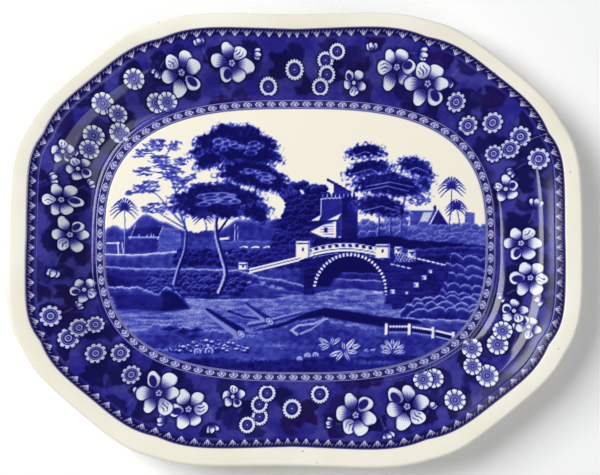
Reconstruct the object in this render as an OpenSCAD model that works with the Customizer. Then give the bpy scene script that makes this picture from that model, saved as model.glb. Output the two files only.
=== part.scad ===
// Lobed serving platter in blue printed earthenware, laid up as it is made.
// The clay body and its foot ring come first, then the printed transfers, then the clear glaze.
// The origin is on the table under the platter's centre, +X runs along its length and +Z is up.

/* [Rim outline] */
// Half length, from the centre to the crest of an end lobe
rim_half_length = 209.7; // [195:0.1:220]
// Half width, from the centre to the shoulders of a long lobe
rim_half_width = 169.6; // [160:0.1:180]
// How far the middle of a long lobe dips towards the centre
long_lobe_dip = 5.4; // [0:0.1:8]
// Distance from the centre along X to the cusps at an end lobe
end_cusp_x = 196; // [186:0.5:200]
// Distance from the centre along Y to the cusps at an end lobe
end_cusp_y = 81.7; // [70:0.1:90]
// Distance from the centre along X to the cusps at a long lobe
long_cusp_x = 101.8; // [90:0.1:115]
// Distance from the centre along Y to the cusps at a long lobe
long_cusp_y = 158.4; // [150:0.1:160]
// How far a corner lobe bows out from the line between its cusps
corner_bow = 9.3; // [4:0.1:14]
// How square an end lobe's shoulders are
end_fullness = 7.1; // [2:0.1:9]
// How square a corner lobe's shoulders are
corner_fullness = 5.1; // [2:0.1:9]
// How square a long lobe's shoulders are
long_fullness = 4.9; // [2:0.1:9]

/* [Well] */
// Half length of the flat floor, to the foot of the wall
well_half_length = 149.5; // [140:0.5:155]
// Half width of the flat floor, to the foot of the wall
well_half_width = 105.5; // [98:0.5:110]
// Exponent of the floor's rounded outline: 2 is an ellipse, and more is squarer
well_squareness = 2.85; // [2:0.05:4]

/* [Section] */
// Height of the foot ring under the base
foot_height = 3; // [1.5:0.5:5]
// Width of the foot ring
foot_width = 5; // [3:0.5:8]
// How far the foot ring stands in from the foot of the wall
foot_inset = 9; // [4:0.5:20]
// Thickness of the clay at the floor
floor_thickness = 6.2; // [4:0.1:8]
// Thickness of the clay at the rim
rim_thickness = 4.6; // [3:0.1:6]
// Height that the wall gains between the floor and the rim
wall_rise = 20; // [12:0.5:26]
// Height that the rim gains between the wall and the edge
rim_rise = 8.2; // [3:0.1:12]
// Where the wall ends, as a share of the way from the floor to the edge
wall_end = 0.55; // [0.4:0.01:0.7]
// Where the rim starts to gain height, as a share of the same way
rim_start = 0.35; // [0.2:0.01:0.5]

/* [Decoration] */
// Thickness of a printed transfer, sunk flush in the clay
print_thickness = 0.2; // [0.1:0.05:0.4]
// Thickness of the clear glaze
glaze_thickness = 0.3; // [0.2:0.05:0.5]
// Plain margin between the rim's edge and the print
print_margin = 13; // [10:0.1:18]
// Width of the edging strip round the print
edging_width = 7.4; // [4:0.1:9]
// Width of the bead band round the scene
bead_width = 7; // [4:0.1:10]
// How far the print was laid off centre along X
print_shift_x = 0.6; // [-3:0.1:3]
// How far the print was laid off centre along Y
print_shift_y = 1.2; // [-3:0.1:3]

/* [Hidden] */

clay_colour = [0.93, 0.90, 0.80];
foot_colour = [0.86, 0.80, 0.68];
scene_colour = [0.30, 0.32, 0.66];
border_colour = [0.10, 0.10, 0.48];
band_colour = [0.42, 0.45, 0.72];
glaze_colour = [0.86, 0.92, 0.95, 0.3];

// The outline has eight lobes, each in this many steps, closer together near the cusps.
lobe_steps = 12;
lobes = 8;
outline_steps = lobes * lobe_steps;
soften_passes = 1;

// Share of a step that is crowded towards the cusps
crowding = 0.75;

// The sheets of transfer meet at two opposite cusps.
half_steps = outline_steps / 2;
first_cut = lobe_steps;
second_cut = first_cut + half_steps;

// Heights of the floor's face and of the rim, in clay
floor_z = foot_height + floor_thickness;
rim_z = floor_z + wall_rise + rim_rise;
edge_radius = rim_thickness / 2;
edge_z = rim_z - edge_radius;

// Mean way from the foot of the wall to the edge, which turns millimetres into shares of it
mean_way = (rim_half_length - well_half_length + rim_half_width - well_half_width) / 2;
edge_share = edge_radius / mean_way;
slope_probe = 0.005;

// Stations across each zone, as shares of that zone
border_stations = [for (i = [0:8]) i / 8];
margin_stations = [0.35, 0.7, 1];
edge_angles = [30, 60, 90];
back_stations = [0.9, 0.75, 0.62, 0.5, 0.4, 0.3, 0.2, 0.1];

// ---- Outline ----

// Steps along a lobe from -1 to 1, partly even and partly crowded towards the cusps
function lobe_step(i) =
    (1 - crowding) * (2 * i / lobe_steps - 1) - crowding * cos(180 * i / lobe_steps);

// Outward normal of a line walked anticlockwise round the platter
function outward(p, q) = [q.y - p.y, p.x - q.x] / norm(q - p);

// One lobe between two cusps, without its last point
function lobe(p, q, bow, fullness, dip) =
    [for (i = [0:lobe_steps - 1])
        let (t = lobe_step(i))
        (p + q) / 2 + (q - p) * t / 2
            + outward(p, q) * (bow * (1 - pow(abs(t), fullness)) - dip * pow(1 - t * t, 2))];

// A closed outline of eight lobes: end, corner, long, corner and the same again
function lobed(length, width, end_cusp, long_cusp, bow, dip, fullness) =
    let (e = end_cusp, l = long_cusp)
    concat(lobe([e.x, -e.y], [e.x, e.y], length - e.x, fullness[0], 0),
           lobe([e.x, e.y], [l.x, l.y], bow, fullness[1], 0),
           lobe([l.x, l.y], [-l.x, l.y], width - l.y, fullness[2], dip),
           lobe([-l.x, l.y], [-e.x, e.y], bow, fullness[1], 0),
           lobe([-e.x, e.y], [-e.x, -e.y], length - e.x, fullness[0], 0),
           lobe([-e.x, -e.y], [-l.x, -l.y], bow, fullness[1], 0),
           lobe([-l.x, -l.y], [l.x, -l.y], width - l.y, fullness[2], dip),
           lobe([l.x, -l.y], [e.x, -e.y], bow, fullness[1], 0));

// An outline with its cusps rounded by averaging neighbours
function softened(points, passes) =
    passes == 0 ? points
    : softened([for (i = [0:outline_steps - 1])
                   points[i] / 2
                   + points[(i + 1) % outline_steps] / 4
                   + points[(i + outline_steps - 1) % outline_steps] / 4],
               passes - 1);

rim_sharp = lobed(rim_half_length, rim_half_width, [end_cusp_x, end_cusp_y], [long_cusp_x, long_cusp_y],
                  corner_bow, long_lobe_dip, [end_fullness, corner_fullness, long_fullness]);
rim = softened(rim_sharp, soften_passes);

// The print follows the rim a margin further in, and its lobes are rounder.
end_cusp_drawn_in = [0.79, 0.57];
long_cusp_drawn_in = [0.43, 0.9];
print_rounding = [0.85, 0.65, 0.9];
print_dip_share = 0.75;
print_corner_bow = corner_bow + 1;
print_fullness = [for (i = [0:2]) print_rounding[i] * [end_fullness, corner_fullness, long_fullness][i]];
print_outline = lobed(rim_half_length - print_margin, rim_half_width - print_margin,
                      [end_cusp_x, end_cusp_y] - print_margin * end_cusp_drawn_in,
                      [long_cusp_x, long_cusp_y] - print_margin * long_cusp_drawn_in,
                      print_corner_bow, long_lobe_dip * print_dip_share, print_fullness);
print_shift = [print_shift_x, print_shift_y];

// A point of the floor's outline, drawn in by inset, that faces point i of the rim
function signed_power(value, power) = sign(value) * pow(abs(value), power);
function well_point(i, inset) =
    let (turn = atan2(rim_sharp[i].y / rim_half_width, rim_sharp[i].x / rim_half_length),
         power = 2 / well_squareness)
    [(well_half_length - inset) * signed_power(cos(turn), power),
     (well_half_width - inset) * signed_power(sin(turn), power)];
function well_outline(inset) = [for (i = [0:outline_steps - 1]) well_point(i, inset)];

well = well_outline(0);
way = [for (i = [0:outline_steps - 1]) rim[i] - well[i]];

// Share of the way out at which the print ends, and at which the edging strip starts
print_end = [for (i = [0:outline_steps - 1])
                (print_outline[i] + print_shift - well[i]) * way[i] / (way[i] * way[i])];
border_end = [for (i = [0:outline_steps - 1]) print_end[i] - edging_width / norm(way[i])];

// ---- Section ----

function ease(t) = let (c = max(0, min(1, t))) c * c * (3 - 2 * c);
function face_z(s) =
    floor_z + wall_rise * ease(s / wall_end) + rim_rise * ease((s - rim_start) / (1 - rim_start));
function face_slope(s) = (face_z(s + slope_probe) - face_z(s - slope_probe)) / (2 * slope_probe * mean_way);
function thickness(s) = floor_thickness + (rim_thickness - floor_thickness) * s;
function back_z(s) = face_z(s) - thickness(s) * sqrt(1 + pow(face_slope(s), 2));

// One ring of points at share s of the way out, at height z
function ring(s, z) =
    [for (i = [0:outline_steps - 1]) let (p = well[i] + way[i] * s) [p.x, p.y, z]];

// One ring on the face, at its own share for each point, raised by lift
function face_ring(shares, lift) =
    [for (i = [0:outline_steps - 1])
        let (s = shares[i], p = well[i] + way[i] * s)
        [p.x, p.y, face_z(s) + lift]];

// Shares of the way out at station f of the border, of the plain margin and of the rounded edge
function in_border(f) = border_end * f;
function in_margin(f) = [for (s = print_end) s + (1 - edge_share - s) * f];
function edge_ring(angle, grown) =
    ring(1 - edge_share + (edge_share + grown / mean_way) * sin(angle),
         edge_z + (edge_radius + grown) * cos(angle));

// The face's rings from the foot of the wall to the outermost edge
function border_rings(lift) = [for (f = border_stations) face_ring(in_border(f), lift)];
function margin_rings(lift) = [for (f = margin_stations) face_ring(in_margin(f), lift)];
function face_edge_rings(grown) = [for (angle = edge_angles) edge_ring(angle, grown)];
function face_rings(grown) =
    concat(border_rings(grown), [face_ring(print_end, grown)], margin_rings(grown), face_edge_rings(grown));

// The back's rings from the outermost edge to the foot of the wall
function back_edge_rings(grown) = [for (angle = edge_angles) edge_ring(angle + 90, grown)];
function back_rings(grown) =
    concat([for (f = back_stations) let (s = f * (1 - edge_share)) ring(s, back_z(s) - grown)],
           [ring(0, foot_height - grown)]);

function reversed(rows) = [for (i = [len(rows) - 1:-1:0]) rows[i]];
function joined(rows) = [for (row = rows) each row];
function part_of(rows, from, to) = [for (row = rows) [for (i = [from:to]) row[i % outline_steps]]];

// ---- Solids ----

// Faces between each row of points and the next, wound to face out on the left of the rows' order
function bands(rows, columns, row_loop, column_loop) =
    [for (r = [0:rows - (row_loop ? 1 : 2)])
        for (c = [0:columns - (column_loop ? 1 : 2)])
            let (a = r * columns + c,
                 b = ((r + 1) % rows) * columns + c,
                 a_next = r * columns + (c + 1) % columns,
                 b_next = ((r + 1) % rows) * columns + (c + 1) % columns)
            each [[a, b_next, b], [a, a_next, b_next]]];

// A solid lofted through closed rings, with a flat face at its first ring and its last
module capped_loft(rings) {
    last = (len(rings) - 1) * outline_steps;
    first_cap = [for (i = [outline_steps - 1:-1:0]) i];
    last_cap = [for (i = [0:outline_steps - 1]) last + i];
    polyhedron(points = joined(rings),
               faces = concat(bands(len(rings), outline_steps, false, true), [first_cap, last_cap]));
}

// A solid lofted through closed rings that come back to the first one
module ring_loft(rings) {
    polyhedron(points = joined(rings), faces = bands(len(rings), outline_steps, true, true));
}

// A skin from one column to another of the rings, between a lower and an upper surface
module skin(lower, upper, from, to) {
    rows = part_of(concat(upper, reversed(lower)), from, to);
    columns = to - from + 1;
    count = len(rows);
    end = columns - 1;
    ends = [for (r = [0:len(upper) - 2])
               let (a = r * columns, b = a + columns, c = (count - 2 - r) * columns, d = c + columns)
               each [[a, b, c], [a, c, d], [a + end, c + end, b + end], [a + end, d + end, c + end]]];
    polyhedron(points = joined(rows), faces = concat(bands(count, columns, true, false), ends));
}

// A flat slab of the floor's outline, drawn in by inset
module floor_slab(inset, bottom, depth) {
    translate([0, 0, bottom]) linear_extrude(depth) polygon(well_outline(inset));
}

// A flat band that follows the floor's outline
module floor_band(inset, width, bottom, depth) {
    translate([0, 0, bottom]) linear_extrude(depth) difference() {
        polygon(well_outline(inset));
        polygon(well_outline(inset + width));
    }
}

// ---- Sub-parts ----

// The clay, with a shallow bed where the print lies
module earthenware_body() {
    color(clay_colour)
        capped_loft(concat(border_rings(-print_thickness),
                           [face_ring(print_end, -print_thickness), face_ring(print_end, 0)],
                           margin_rings(0), face_edge_rings(0), back_edge_rings(0), back_rings(0)));
}

// The strip of clay luted to the base, ground flat where it stands
module foot_ring() {
    color(foot_colour) floor_band(foot_inset, foot_width, 0, foot_height);
}

module scene_transfer() {
    color(scene_colour) floor_slab(bead_width, floor_z - print_thickness, print_thickness);
}

module bead_band_transfer() {
    color(band_colour) floor_band(0, bead_width, floor_z - print_thickness, print_thickness);
}

// One sheet of the wide border, which covers half of the way round
module border_sheet(from) {
    color(border_colour)
        skin(border_rings(-print_thickness), border_rings(0), from, from + half_steps);
}

module border_transfer_a() {
    border_sheet(first_cut);
}

module border_transfer_b() {
    border_sheet(second_cut);
}

// One strip of the narrow edging, which covers half of the way round
module edging_strip(from) {
    lower = [face_ring(border_end, -print_thickness), face_ring(print_end, -print_thickness)];
    upper = [face_ring(border_end, 0), face_ring(print_end, 0)];
    color(band_colour) skin(lower, upper, from, from + half_steps);
}

module edging_transfer_a() {
    edging_strip(first_cut);
}

module edging_transfer_b() {
    edging_strip(second_cut);
}

// The clear coat over the face and round to the middle of the edge
module face_glaze() {
    color(glaze_colour) capped_loft(concat(face_rings(glaze_thickness), reversed(face_rings(0))));
}

// The clear coat from the middle of the edge to the foot ring
module back_glaze() {
    foot_line = well_outline(foot_inset);
    inner_upper = [for (p = foot_line) [p.x, p.y, foot_height]];
    inner_lower = [for (p = foot_line) [p.x, p.y, foot_height - glaze_thickness]];
    color(glaze_colour)
        ring_loft(concat([edge_ring(90, glaze_thickness)], back_edge_rings(glaze_thickness),
                         back_rings(glaze_thickness), [inner_lower, inner_upper],
                         reversed(back_rings(0)), reversed(back_edge_rings(0)), [edge_ring(90, 0)]));
}

// The clear coat inside the foot ring
module base_glaze() {
    color(glaze_colour) floor_slab(foot_inset + foot_width, foot_height - glaze_thickness, glaze_thickness);
}

earthenware_body();
foot_ring();
scene_transfer();
bead_band_transfer();
border_transfer_a();
border_transfer_b();
edging_transfer_a();
edging_transfer_b();
face_glaze();
back_glaze();
base_glaze();
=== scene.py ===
"""Lobed serving platter in blue printed earthenware, dressed and lit for the studio.

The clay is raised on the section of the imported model, the printed films are laid flush in it, and the
flowers and the landscape are drawn on the films by rule. Lengths are in metres, but in millimetres in
Film and in what is drawn on it, which are Border and Landscape.
"""

import logging
import math
from dataclasses import dataclass, field
from enum import Enum
from typing import Any, Callable

import bpy
import numpy as np
from mathutils import Matrix, Quaternion, Vector


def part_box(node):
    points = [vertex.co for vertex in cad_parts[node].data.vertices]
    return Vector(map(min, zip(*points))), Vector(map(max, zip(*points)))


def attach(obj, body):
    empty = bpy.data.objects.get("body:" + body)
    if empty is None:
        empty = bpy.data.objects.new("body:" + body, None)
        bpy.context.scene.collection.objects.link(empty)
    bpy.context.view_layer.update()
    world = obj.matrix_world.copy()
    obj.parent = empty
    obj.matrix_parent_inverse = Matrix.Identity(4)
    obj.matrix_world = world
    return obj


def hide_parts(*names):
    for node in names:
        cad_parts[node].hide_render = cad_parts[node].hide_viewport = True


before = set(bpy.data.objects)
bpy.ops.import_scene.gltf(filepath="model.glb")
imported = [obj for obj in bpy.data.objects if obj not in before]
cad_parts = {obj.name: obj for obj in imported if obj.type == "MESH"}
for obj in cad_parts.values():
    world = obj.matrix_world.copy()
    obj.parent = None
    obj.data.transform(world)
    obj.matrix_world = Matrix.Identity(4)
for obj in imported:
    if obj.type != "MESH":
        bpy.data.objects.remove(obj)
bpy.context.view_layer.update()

LOG = logging.getLogger("platter")
MM = 0.001
FULL_TURN = 2 * math.pi
DENSE = 7200  # Points on a closed line that is then divided evenly.
BODY = "root"
Colour = tuple[float, float, float]
Pair = tuple[float, float]
Box = tuple[float, float, float, float]
Path = list[Pair]
Array = np.ndarray


# ---- Node trees as expressions ----


class Value:
    """A socket that takes part in arithmetic by adding Math nodes to its tree."""

    def __init__(self, tree: "Nodes", socket: bpy.types.NodeSocket) -> None:
        """Wraps a socket of a tree."""
        self.tree = tree
        self.socket = socket

    def __add__(self, other: "Value | float") -> "Value":
        """Returns self + other."""
        return self.tree.math("ADD", self, other)

    def __radd__(self, other: float) -> "Value":
        """Returns other + self."""
        return self.tree.math("ADD", other, self)

    def __sub__(self, other: "Value | float") -> "Value":
        """Returns self - other."""
        return self.tree.math("SUBTRACT", self, other)

    def __rsub__(self, other: float) -> "Value":
        """Returns other - self."""
        return self.tree.math("SUBTRACT", other, self)

    def __mul__(self, other: "Value | float") -> "Value":
        """Returns self * other."""
        return self.tree.math("MULTIPLY", self, other)

    def __rmul__(self, other: float) -> "Value":
        """Returns other * self."""
        return self.tree.math("MULTIPLY", other, self)

    def __truediv__(self, other: "Value | float") -> "Value":
        """Returns self / other."""
        return self.tree.math("DIVIDE", self, other)

    def __gt__(self, other: "Value | float") -> "Value":
        """Returns 1 where self is greater than other, and 0 elsewhere."""
        return self.tree.math("GREATER_THAN", self, other)

    def __abs__(self) -> "Value":
        """Returns the size of self without its sign."""
        return self.tree.math("ABSOLUTE", self)

    def least(self, other: "Value | float") -> "Value":
        """Returns the smaller of self and other."""
        return self.tree.math("MINIMUM", self, other)

    def most(self, other: "Value | float") -> "Value":
        """Returns the larger of self and other."""
        return self.tree.math("MAXIMUM", self, other)

    def ramp(self, low: float, high: float) -> "Value":
        """Returns a smooth step of self from 0 at low to 1 at high; low may be the larger one.

        Args:
            low: The value at which the step starts.
            high: The value at which the step ends.

        Returns:
            The step, held at 0 and 1 outside.
        """
        start, end = (0.0, 1.0) if low < high else (1.0, 0.0)
        settings = {"interpolation_type": "SMOOTHSTEP", "clamp": True}
        values = {"Value": self, "From Min": min(low, high), "From Max": max(low, high), "To Min": start,
                  "To Max": end}
        return Value(self.tree, self.tree.add("ShaderNodeMapRange", settings, values).outputs["Result"])


class Nodes:
    """A node tree, for a material or for geometry, that is written as Python expressions."""

    def __init__(self, tree: bpy.types.NodeTree) -> None:
        """Wraps an empty or a cleared node tree."""
        self.tree = tree

    def add(self, kind: str, settings: dict[str, Any] | None = None,
            values: dict[str | int, Any] | None = None) -> bpy.types.Node:
        """Adds a node.

        Args:
            kind: The node's type, such as ShaderNodeMath.
            settings: Properties of the node, which are set first.
            values: Links or plain values for its input sockets, by name or by number.

        Returns:
            The node.
        """
        node = self.tree.nodes.new(kind)
        for name, setting in (settings or {}).items():
            setattr(node, name, setting)
        for key, value in (values or {}).items():
            socket = node.inputs[key]
            if isinstance(value, Value):
                self.tree.links.new(value.socket, socket)
            elif isinstance(value, bpy.types.NodeSocket):
                self.tree.links.new(value, socket)
            else:
                socket.default_value = value
        return node

    def math(self, operation: str, *terms: "Value | float") -> Value:
        """Returns the result of a Math node on one to three values or numbers."""
        node = self.add("ShaderNodeMath", {"operation": operation}, dict(enumerate(terms)))
        return Value(self, node.outputs[0])

    def blend(self, amount: "Value | float", first: Any, second: Any) -> Value:
        """Mixes two colours.

        Args:
            amount: 0 for the first and 1 for the second.
            first: A colour, or the value that carries one.
            second: Another.

        Returns:
            The mixed colour.
        """
        values = {0: amount, 6: opaque(first), 7: opaque(second)}
        node = self.add("ShaderNodeMix", {"data_type": "RGBA"}, values)
        return Value(self, node.outputs[2])

    def choose(self, test: Value, yes: "Value | float", no: "Value | float") -> Value:
        """Returns yes where the test is 1 and no where it is 0."""
        node = self.add("ShaderNodeMix", {"data_type": "FLOAT"}, {0: test, 2: no, 3: yes})
        return Value(self, node.outputs[0])

    def painted(self, name: str) -> Value:
        """Returns a number that was painted on the points of a film."""
        node = self.add("ShaderNodeAttribute", {"attribute_type": "GEOMETRY", "attribute_name": name})
        return Value(self, node.outputs["Fac"])

    def named(self, name: str) -> Value:
        """Returns a number that was stored on the points, in a geometry tree."""
        node = self.add("GeometryNodeInputNamedAttribute", {"data_type": "FLOAT"}, {"Name": name})
        return Value(self, node.outputs["Attribute"])

    def place(self, scale: tuple[float, float, float] = (1, 1, 1)) -> Value:
        """Returns object coordinates, scaled by a factor along each axis."""
        source = self.add("ShaderNodeTexCoord")
        values = {"Vector": source.outputs["Object"], "Scale": scale}
        node = self.add("ShaderNodeMapping", {"vector_type": "POINT"}, values)
        return Value(self, node.outputs["Vector"])

    def noise(self, where: Value, scale: float, detail: float = 2.0, roughness: float = 0.5) -> Value:
        """Returns smooth noise between 0 and 1, with about scale lumps per metre, and finer layers."""
        values = {"Vector": where, "Scale": scale, "Detail": detail, "Roughness": roughness}
        return Value(self, self.add("ShaderNodeTexNoise", None, values).outputs["Fac"])

    def cells(self, where: Value, scale: float) -> Value:
        """Returns the distance to the nearest scattered point, in cells, of which a metre holds scale."""
        node = self.add("ShaderNodeTexVoronoi", {"feature": "F1"}, {"Vector": where, "Scale": scale})
        return Value(self, node.outputs["Distance"])

    def relief(self, strength: float, distance: float, height: Value) -> bpy.types.NodeSocket:
        """Returns the normals of a surface that a height from 0 to 1 raises by up to a distance."""
        values = {"Strength": strength, "Distance": distance, "Height": height}
        return self.add("ShaderNodeBump", None, values).outputs["Normal"]

    def surface(self, values: dict[str, Any]) -> None:
        """Ends a material's tree in one shader, whose sockets take these values."""
        shader = self.add("ShaderNodeBsdfPrincipled", None, values)
        self.add("ShaderNodeOutputMaterial", None, {"Surface": shader.outputs["BSDF"]})


def opaque(colour: Any) -> Any:
    """Returns a plain colour with an alpha of 1, and anything else as it is."""
    return (*colour, 1.0) if isinstance(colour, tuple) and len(colour) == 3 else colour


def linear(red: int, green: int, blue: int) -> Colour:
    """Turns a colour as a screen shows it, 0 to 255, into the linear one that shaders take."""
    def one(level: int) -> float:
        """Turns one channel."""
        share = level / 255
        return share / 12.92 if share <= 0.04045 else ((share + 0.055) / 1.055) ** 2.4
    return one(red), one(green), one(blue)


# ---- The ware's form ----


class Side(Enum):
    """Which surface of the clay a ring of points lies on, as its turn round the rim's edge."""

    FACE = 0.0
    BACK = math.pi


@dataclass(frozen=True)
class Ware:
    """The outline and the section that every piece of the platter follows."""

    half_length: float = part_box("earthenware_body")[1].x
    half_width: float = 169.6 * MM
    long_dip: float = 5.4 * MM
    end_cusp: Pair = (196 * MM, 81.7 * MM)
    long_cusp: Pair = (101.8 * MM, 158.4 * MM)
    corner_bow: float = 9.3 * MM
    end_fullness: float = 7.1
    corner_fullness: float = 5.1
    long_fullness: float = 4.9
    crowding: float = 0.75
    fine_steps: int = 120
    rounding_passes: int = 240
    columns: int = 1760

    well_half_length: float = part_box("bead_band_transfer")[1].x
    well_half_width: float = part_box("bead_band_transfer")[1].y
    well_squareness: float = 2.85

    foot_height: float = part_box("foot_ring")[1].z
    floor_height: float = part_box("scene_transfer")[1].z
    floor_thickness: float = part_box("scene_transfer")[1].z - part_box("foot_ring")[1].z
    rim_thickness: float = 4.6 * MM
    wall_rise: float = 20 * MM
    rim_rise: float = 8.2 * MM
    wall_end: float = 0.55
    rim_start: float = 0.35

    film_thickness: float = 0.2 * MM
    glaze_thickness: float = 0.3 * MM
    print_margin: float = 13 * MM
    edging_width: float = 7.4 * MM
    bead_width: float = 7 * MM
    print_shift: Pair = (0.6 * MM, 1.2 * MM)

    def lobe(self, start: Array, end: Array, bow: float, fullness: float, dip: float) -> Array:
        """Draws one lobe between two cusps.

        Args:
            start: The first cusp.
            end: The second cusp, anticlockwise from the first.
            bow: How far the lobe stands out from the line between them.
            fullness: How square its shoulders are.
            dip: How far its middle falls back.

        Returns:
            Its points, without the last one.
        """
        step = np.arange(self.fine_steps) / self.fine_steps
        along = (1 - self.crowding) * (2 * step - 1) - self.crowding * np.cos(np.pi * step)
        line = end - start
        outward = np.array([line[1], -line[0]]) / np.hypot(*line)
        rise = bow * (1 - np.abs(along) ** fullness) - dip * (1 - along**2) ** 2
        return (start + end) / 2 + line * along[:, None] / 2 + outward * rise[:, None]

    def lobed(self, length: float, width: float, cusps: tuple[Array, Array], bow: float, dip: float,
              rounding: tuple[float, float, float]) -> Array:
        """Draws a closed outline of eight lobes.

        Args:
            length: From the centre to the crest of an end lobe.
            width: From the centre to the shoulders of a long lobe.
            cusps: The cusp beside an end lobe and the one beside a long lobe.
            bow: How far a corner lobe stands out.
            dip: How far the middle of a long lobe falls back.
            rounding: Factors on the fullness of end, corner and long lobes.

        Returns:
            The outline's points, anticlockwise.
        """
        end, long = cusps
        full = np.array(rounding) * (self.end_fullness, self.corner_fullness, self.long_fullness)
        corners = [end * (1, -1), end, long, long * (-1, 1), end * (-1, 1), -end, -long, long * (1, -1)]
        kinds = [(length - end[0], full[0], 0.0), (bow, full[1], 0.0), (width - long[1], full[2], dip),
                 (bow, full[1], 0.0)] * 2
        following = corners[1:] + corners[:1]
        return np.vstack([self.lobe(a, b, *kind) for a, b, kind in zip(corners, following, kinds)])

    def lines(self) -> tuple[Array, Array, Array, Array]:
        """Works out the lines that the rings follow, evenly spaced round the platter.

        Returns:
            The floor's outline, the rim's outline, and the shares of the way between them at which
            the border ends and at which the print ends.
        """
        cusps = (np.array(self.end_cusp), np.array(self.long_cusp))
        sharp = self.lobed(self.half_length, self.half_width, cusps, self.corner_bow, self.long_dip,
                           (1, 1, 1))
        rim = rounded(sharp, self.rounding_passes)
        drawn_in = self.print_margin * np.array([[0.79, 0.57], [0.43, 0.9]])
        outline = self.lobed(self.half_length - self.print_margin, self.half_width - self.print_margin,
                             (cusps[0] - drawn_in[0], cusps[1] - drawn_in[1]), self.corner_bow + 1 * MM,
                             self.long_dip * 0.75, (0.85, 0.65, 0.9))
        floor = self.floor_line(np.arctan2(sharp[:, 1] / self.half_width, sharp[:, 0] / self.half_length), 0)
        way = rim - floor
        length = np.hypot(*way.T)
        print_end = ((outline + self.print_shift - floor) * way).sum(1) / length**2
        border_end = print_end - self.edging_width / length
        table = np.column_stack([floor, rim, border_end, print_end])
        first_cusp = np.roll(table, -self.fine_steps, 0)
        middle = first_cusp[:, :2] * 0.6 + first_cusp[:, 2:4] * 0.4
        even = evenly(first_cusp, middle, self.columns)
        return even[:, :2], even[:, 2:4], even[:, 4], even[:, 5]

    def floor_line(self, turn: Array, inset: float) -> Array:
        """Draws the floor's outline.

        Args:
            turn: The angles at which its points lie.
            inset: How far it is drawn in.

        Returns:
            The points.
        """
        def bent(wave: Array) -> Array:
            """Squares a sine or a cosine up."""
            return np.sign(wave) * np.abs(wave) ** (2 / self.well_squareness)
        half = (self.well_half_length - inset, self.well_half_width - inset)
        return np.column_stack([half[0] * bent(np.cos(turn)), half[1] * bent(np.sin(turn))])

    @property
    def mean_way(self) -> float:
        """Mean way from the floor's outline to the rim's."""
        return (self.half_length - self.well_half_length + self.half_width - self.well_half_width) / 2

    @property
    def edge_share(self) -> float:
        """The radius of the rounded edge, as a share of the way out."""
        return self.rim_thickness / 2 / self.mean_way


def full_turn(count: int) -> Array:
    """Returns a number of angles, evenly spaced round a full turn."""
    return np.arange(count) / count * FULL_TURN


def rounded(points: Array, passes: int) -> Array:
    """Rounds the cusps of a closed outline by averaging neighbours a number of times."""
    for _ in range(passes):
        points = points / 2 + np.roll(points, 1, 0) / 4 + np.roll(points, -1, 0) / 4
    return points


def evenly(table: Array, path: Array, count: int) -> Array:
    """Picks rows of a closed table at even distances along a path.

    Args:
        table: Rows of numbers.
        path: A point for each row.
        count: How many rows to return.

    Returns:
        The new rows, the first of which is the old first one.
    """
    closed_table = np.vstack([table, table[:1]])
    closed_path = np.vstack([path, path[:1]])
    gone = np.concatenate([[0], np.cumsum(np.hypot(*np.diff(closed_path, axis=0).T))])
    wanted = np.arange(count) / count * gone[-1]
    return np.column_stack([np.interp(wanted, gone, column) for column in closed_table.T])


@dataclass
class Rings:
    """Rings of points round the platter, or along a part of the way, which become a mesh."""

    floor: Array
    rim: Array
    plan: list[Array] = field(default_factory=list)
    share: list[Array] = field(default_factory=list)
    turn: list[Array] = field(default_factory=list)
    lift: list[Array] = field(default_factory=list)

    def ring(self, share: Array | float, lift: float, turn: float = Side.FACE.value) -> None:
        """Adds a ring at a share of the way from the floor's outline to the rim's, off the clay by lift."""
        way_out = np.broadcast_to(share, len(self.floor)).astype(float)
        self.line(self.floor + (self.rim - self.floor) * way_out[:, None], way_out, lift, turn)

    def line(self, plan: Array, share: Array | float, lift: float, turn: float = Side.FACE.value) -> None:
        """Adds a ring of any plan.

        Args:
            plan: Its points from above.
            share: The share of the way out whose height it takes.
            lift: How far it stands off the clay.
            turn: Which side of the rim's edge it is on.
        """
        self.plan.append(plan)
        self.share.append(np.broadcast_to(share, len(plan)).astype(float))
        self.turn.append(np.full(len(plan), turn))
        self.lift.append(np.full(len(plan), lift))

    def faces(self, loop_columns: bool, loop_rows: bool) -> Array:
        """Joins each ring to the next.

        Args:
            loop_columns: Whether the last column joins the first.
            loop_rows: Whether the last ring joins the first.

        Returns:
            The faces, each as its four corners.
        """
        count, rows = len(self.plan[0]), len(self.plan)
        row = np.arange(rows if loop_rows else rows - 1)[:, None]
        column = np.arange(count if loop_columns else count - 1)[None]
        near, far = row * count, (row + 1) % rows * count
        right = (column + 1) % count
        corners = np.stack([near + right, far + right, far + column, near + column], -1)
        return corners.reshape(-1, 4)

    def half(self, start: int) -> tuple["Rings", Array]:
        """Cuts the half that starts at a column.

        Args:
            start: The first column.

        Returns:
            The half, and the columns that it takes.
        """
        count = len(self.floor)
        columns = np.arange(start, start + count // 2 + 1) % count
        parts = [[row[columns] for row in rows] for rows in (self.plan, self.share, self.turn, self.lift)]
        return Rings(self.floor[columns], self.rim[columns], *parts), columns


def placed(name: str, data: Any) -> bpy.types.Object:
    """Makes an object of a mesh, a lamp or a camera and puts it in the scene."""
    made = bpy.data.objects.new(name, data)
    bpy.context.scene.collection.objects.link(made)
    return made


def new_mesh(name: str, rings: Rings, faces: Array, caps: list[list[int]]) -> bpy.types.Object:
    """Makes an object whose points wait to be raised on the section.

    Args:
        name: The piece's name.
        rings: Its points.
        faces: Its four-cornered faces.
        caps: Its other faces.

    Returns:
        The object.
    """
    plan = np.vstack(rings.plan)
    mesh = bpy.data.meshes.new(name)
    mesh.from_pydata(np.column_stack([plan, plan[:, :1] * 0]).tolist(), [], faces.tolist() + caps)
    waiting = {"share": rings.share, "turn": rings.turn, "lift": rings.lift}
    paint(mesh, {label: np.concatenate(rows) for label, rows in waiting.items()})
    return placed(name, mesh)


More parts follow.
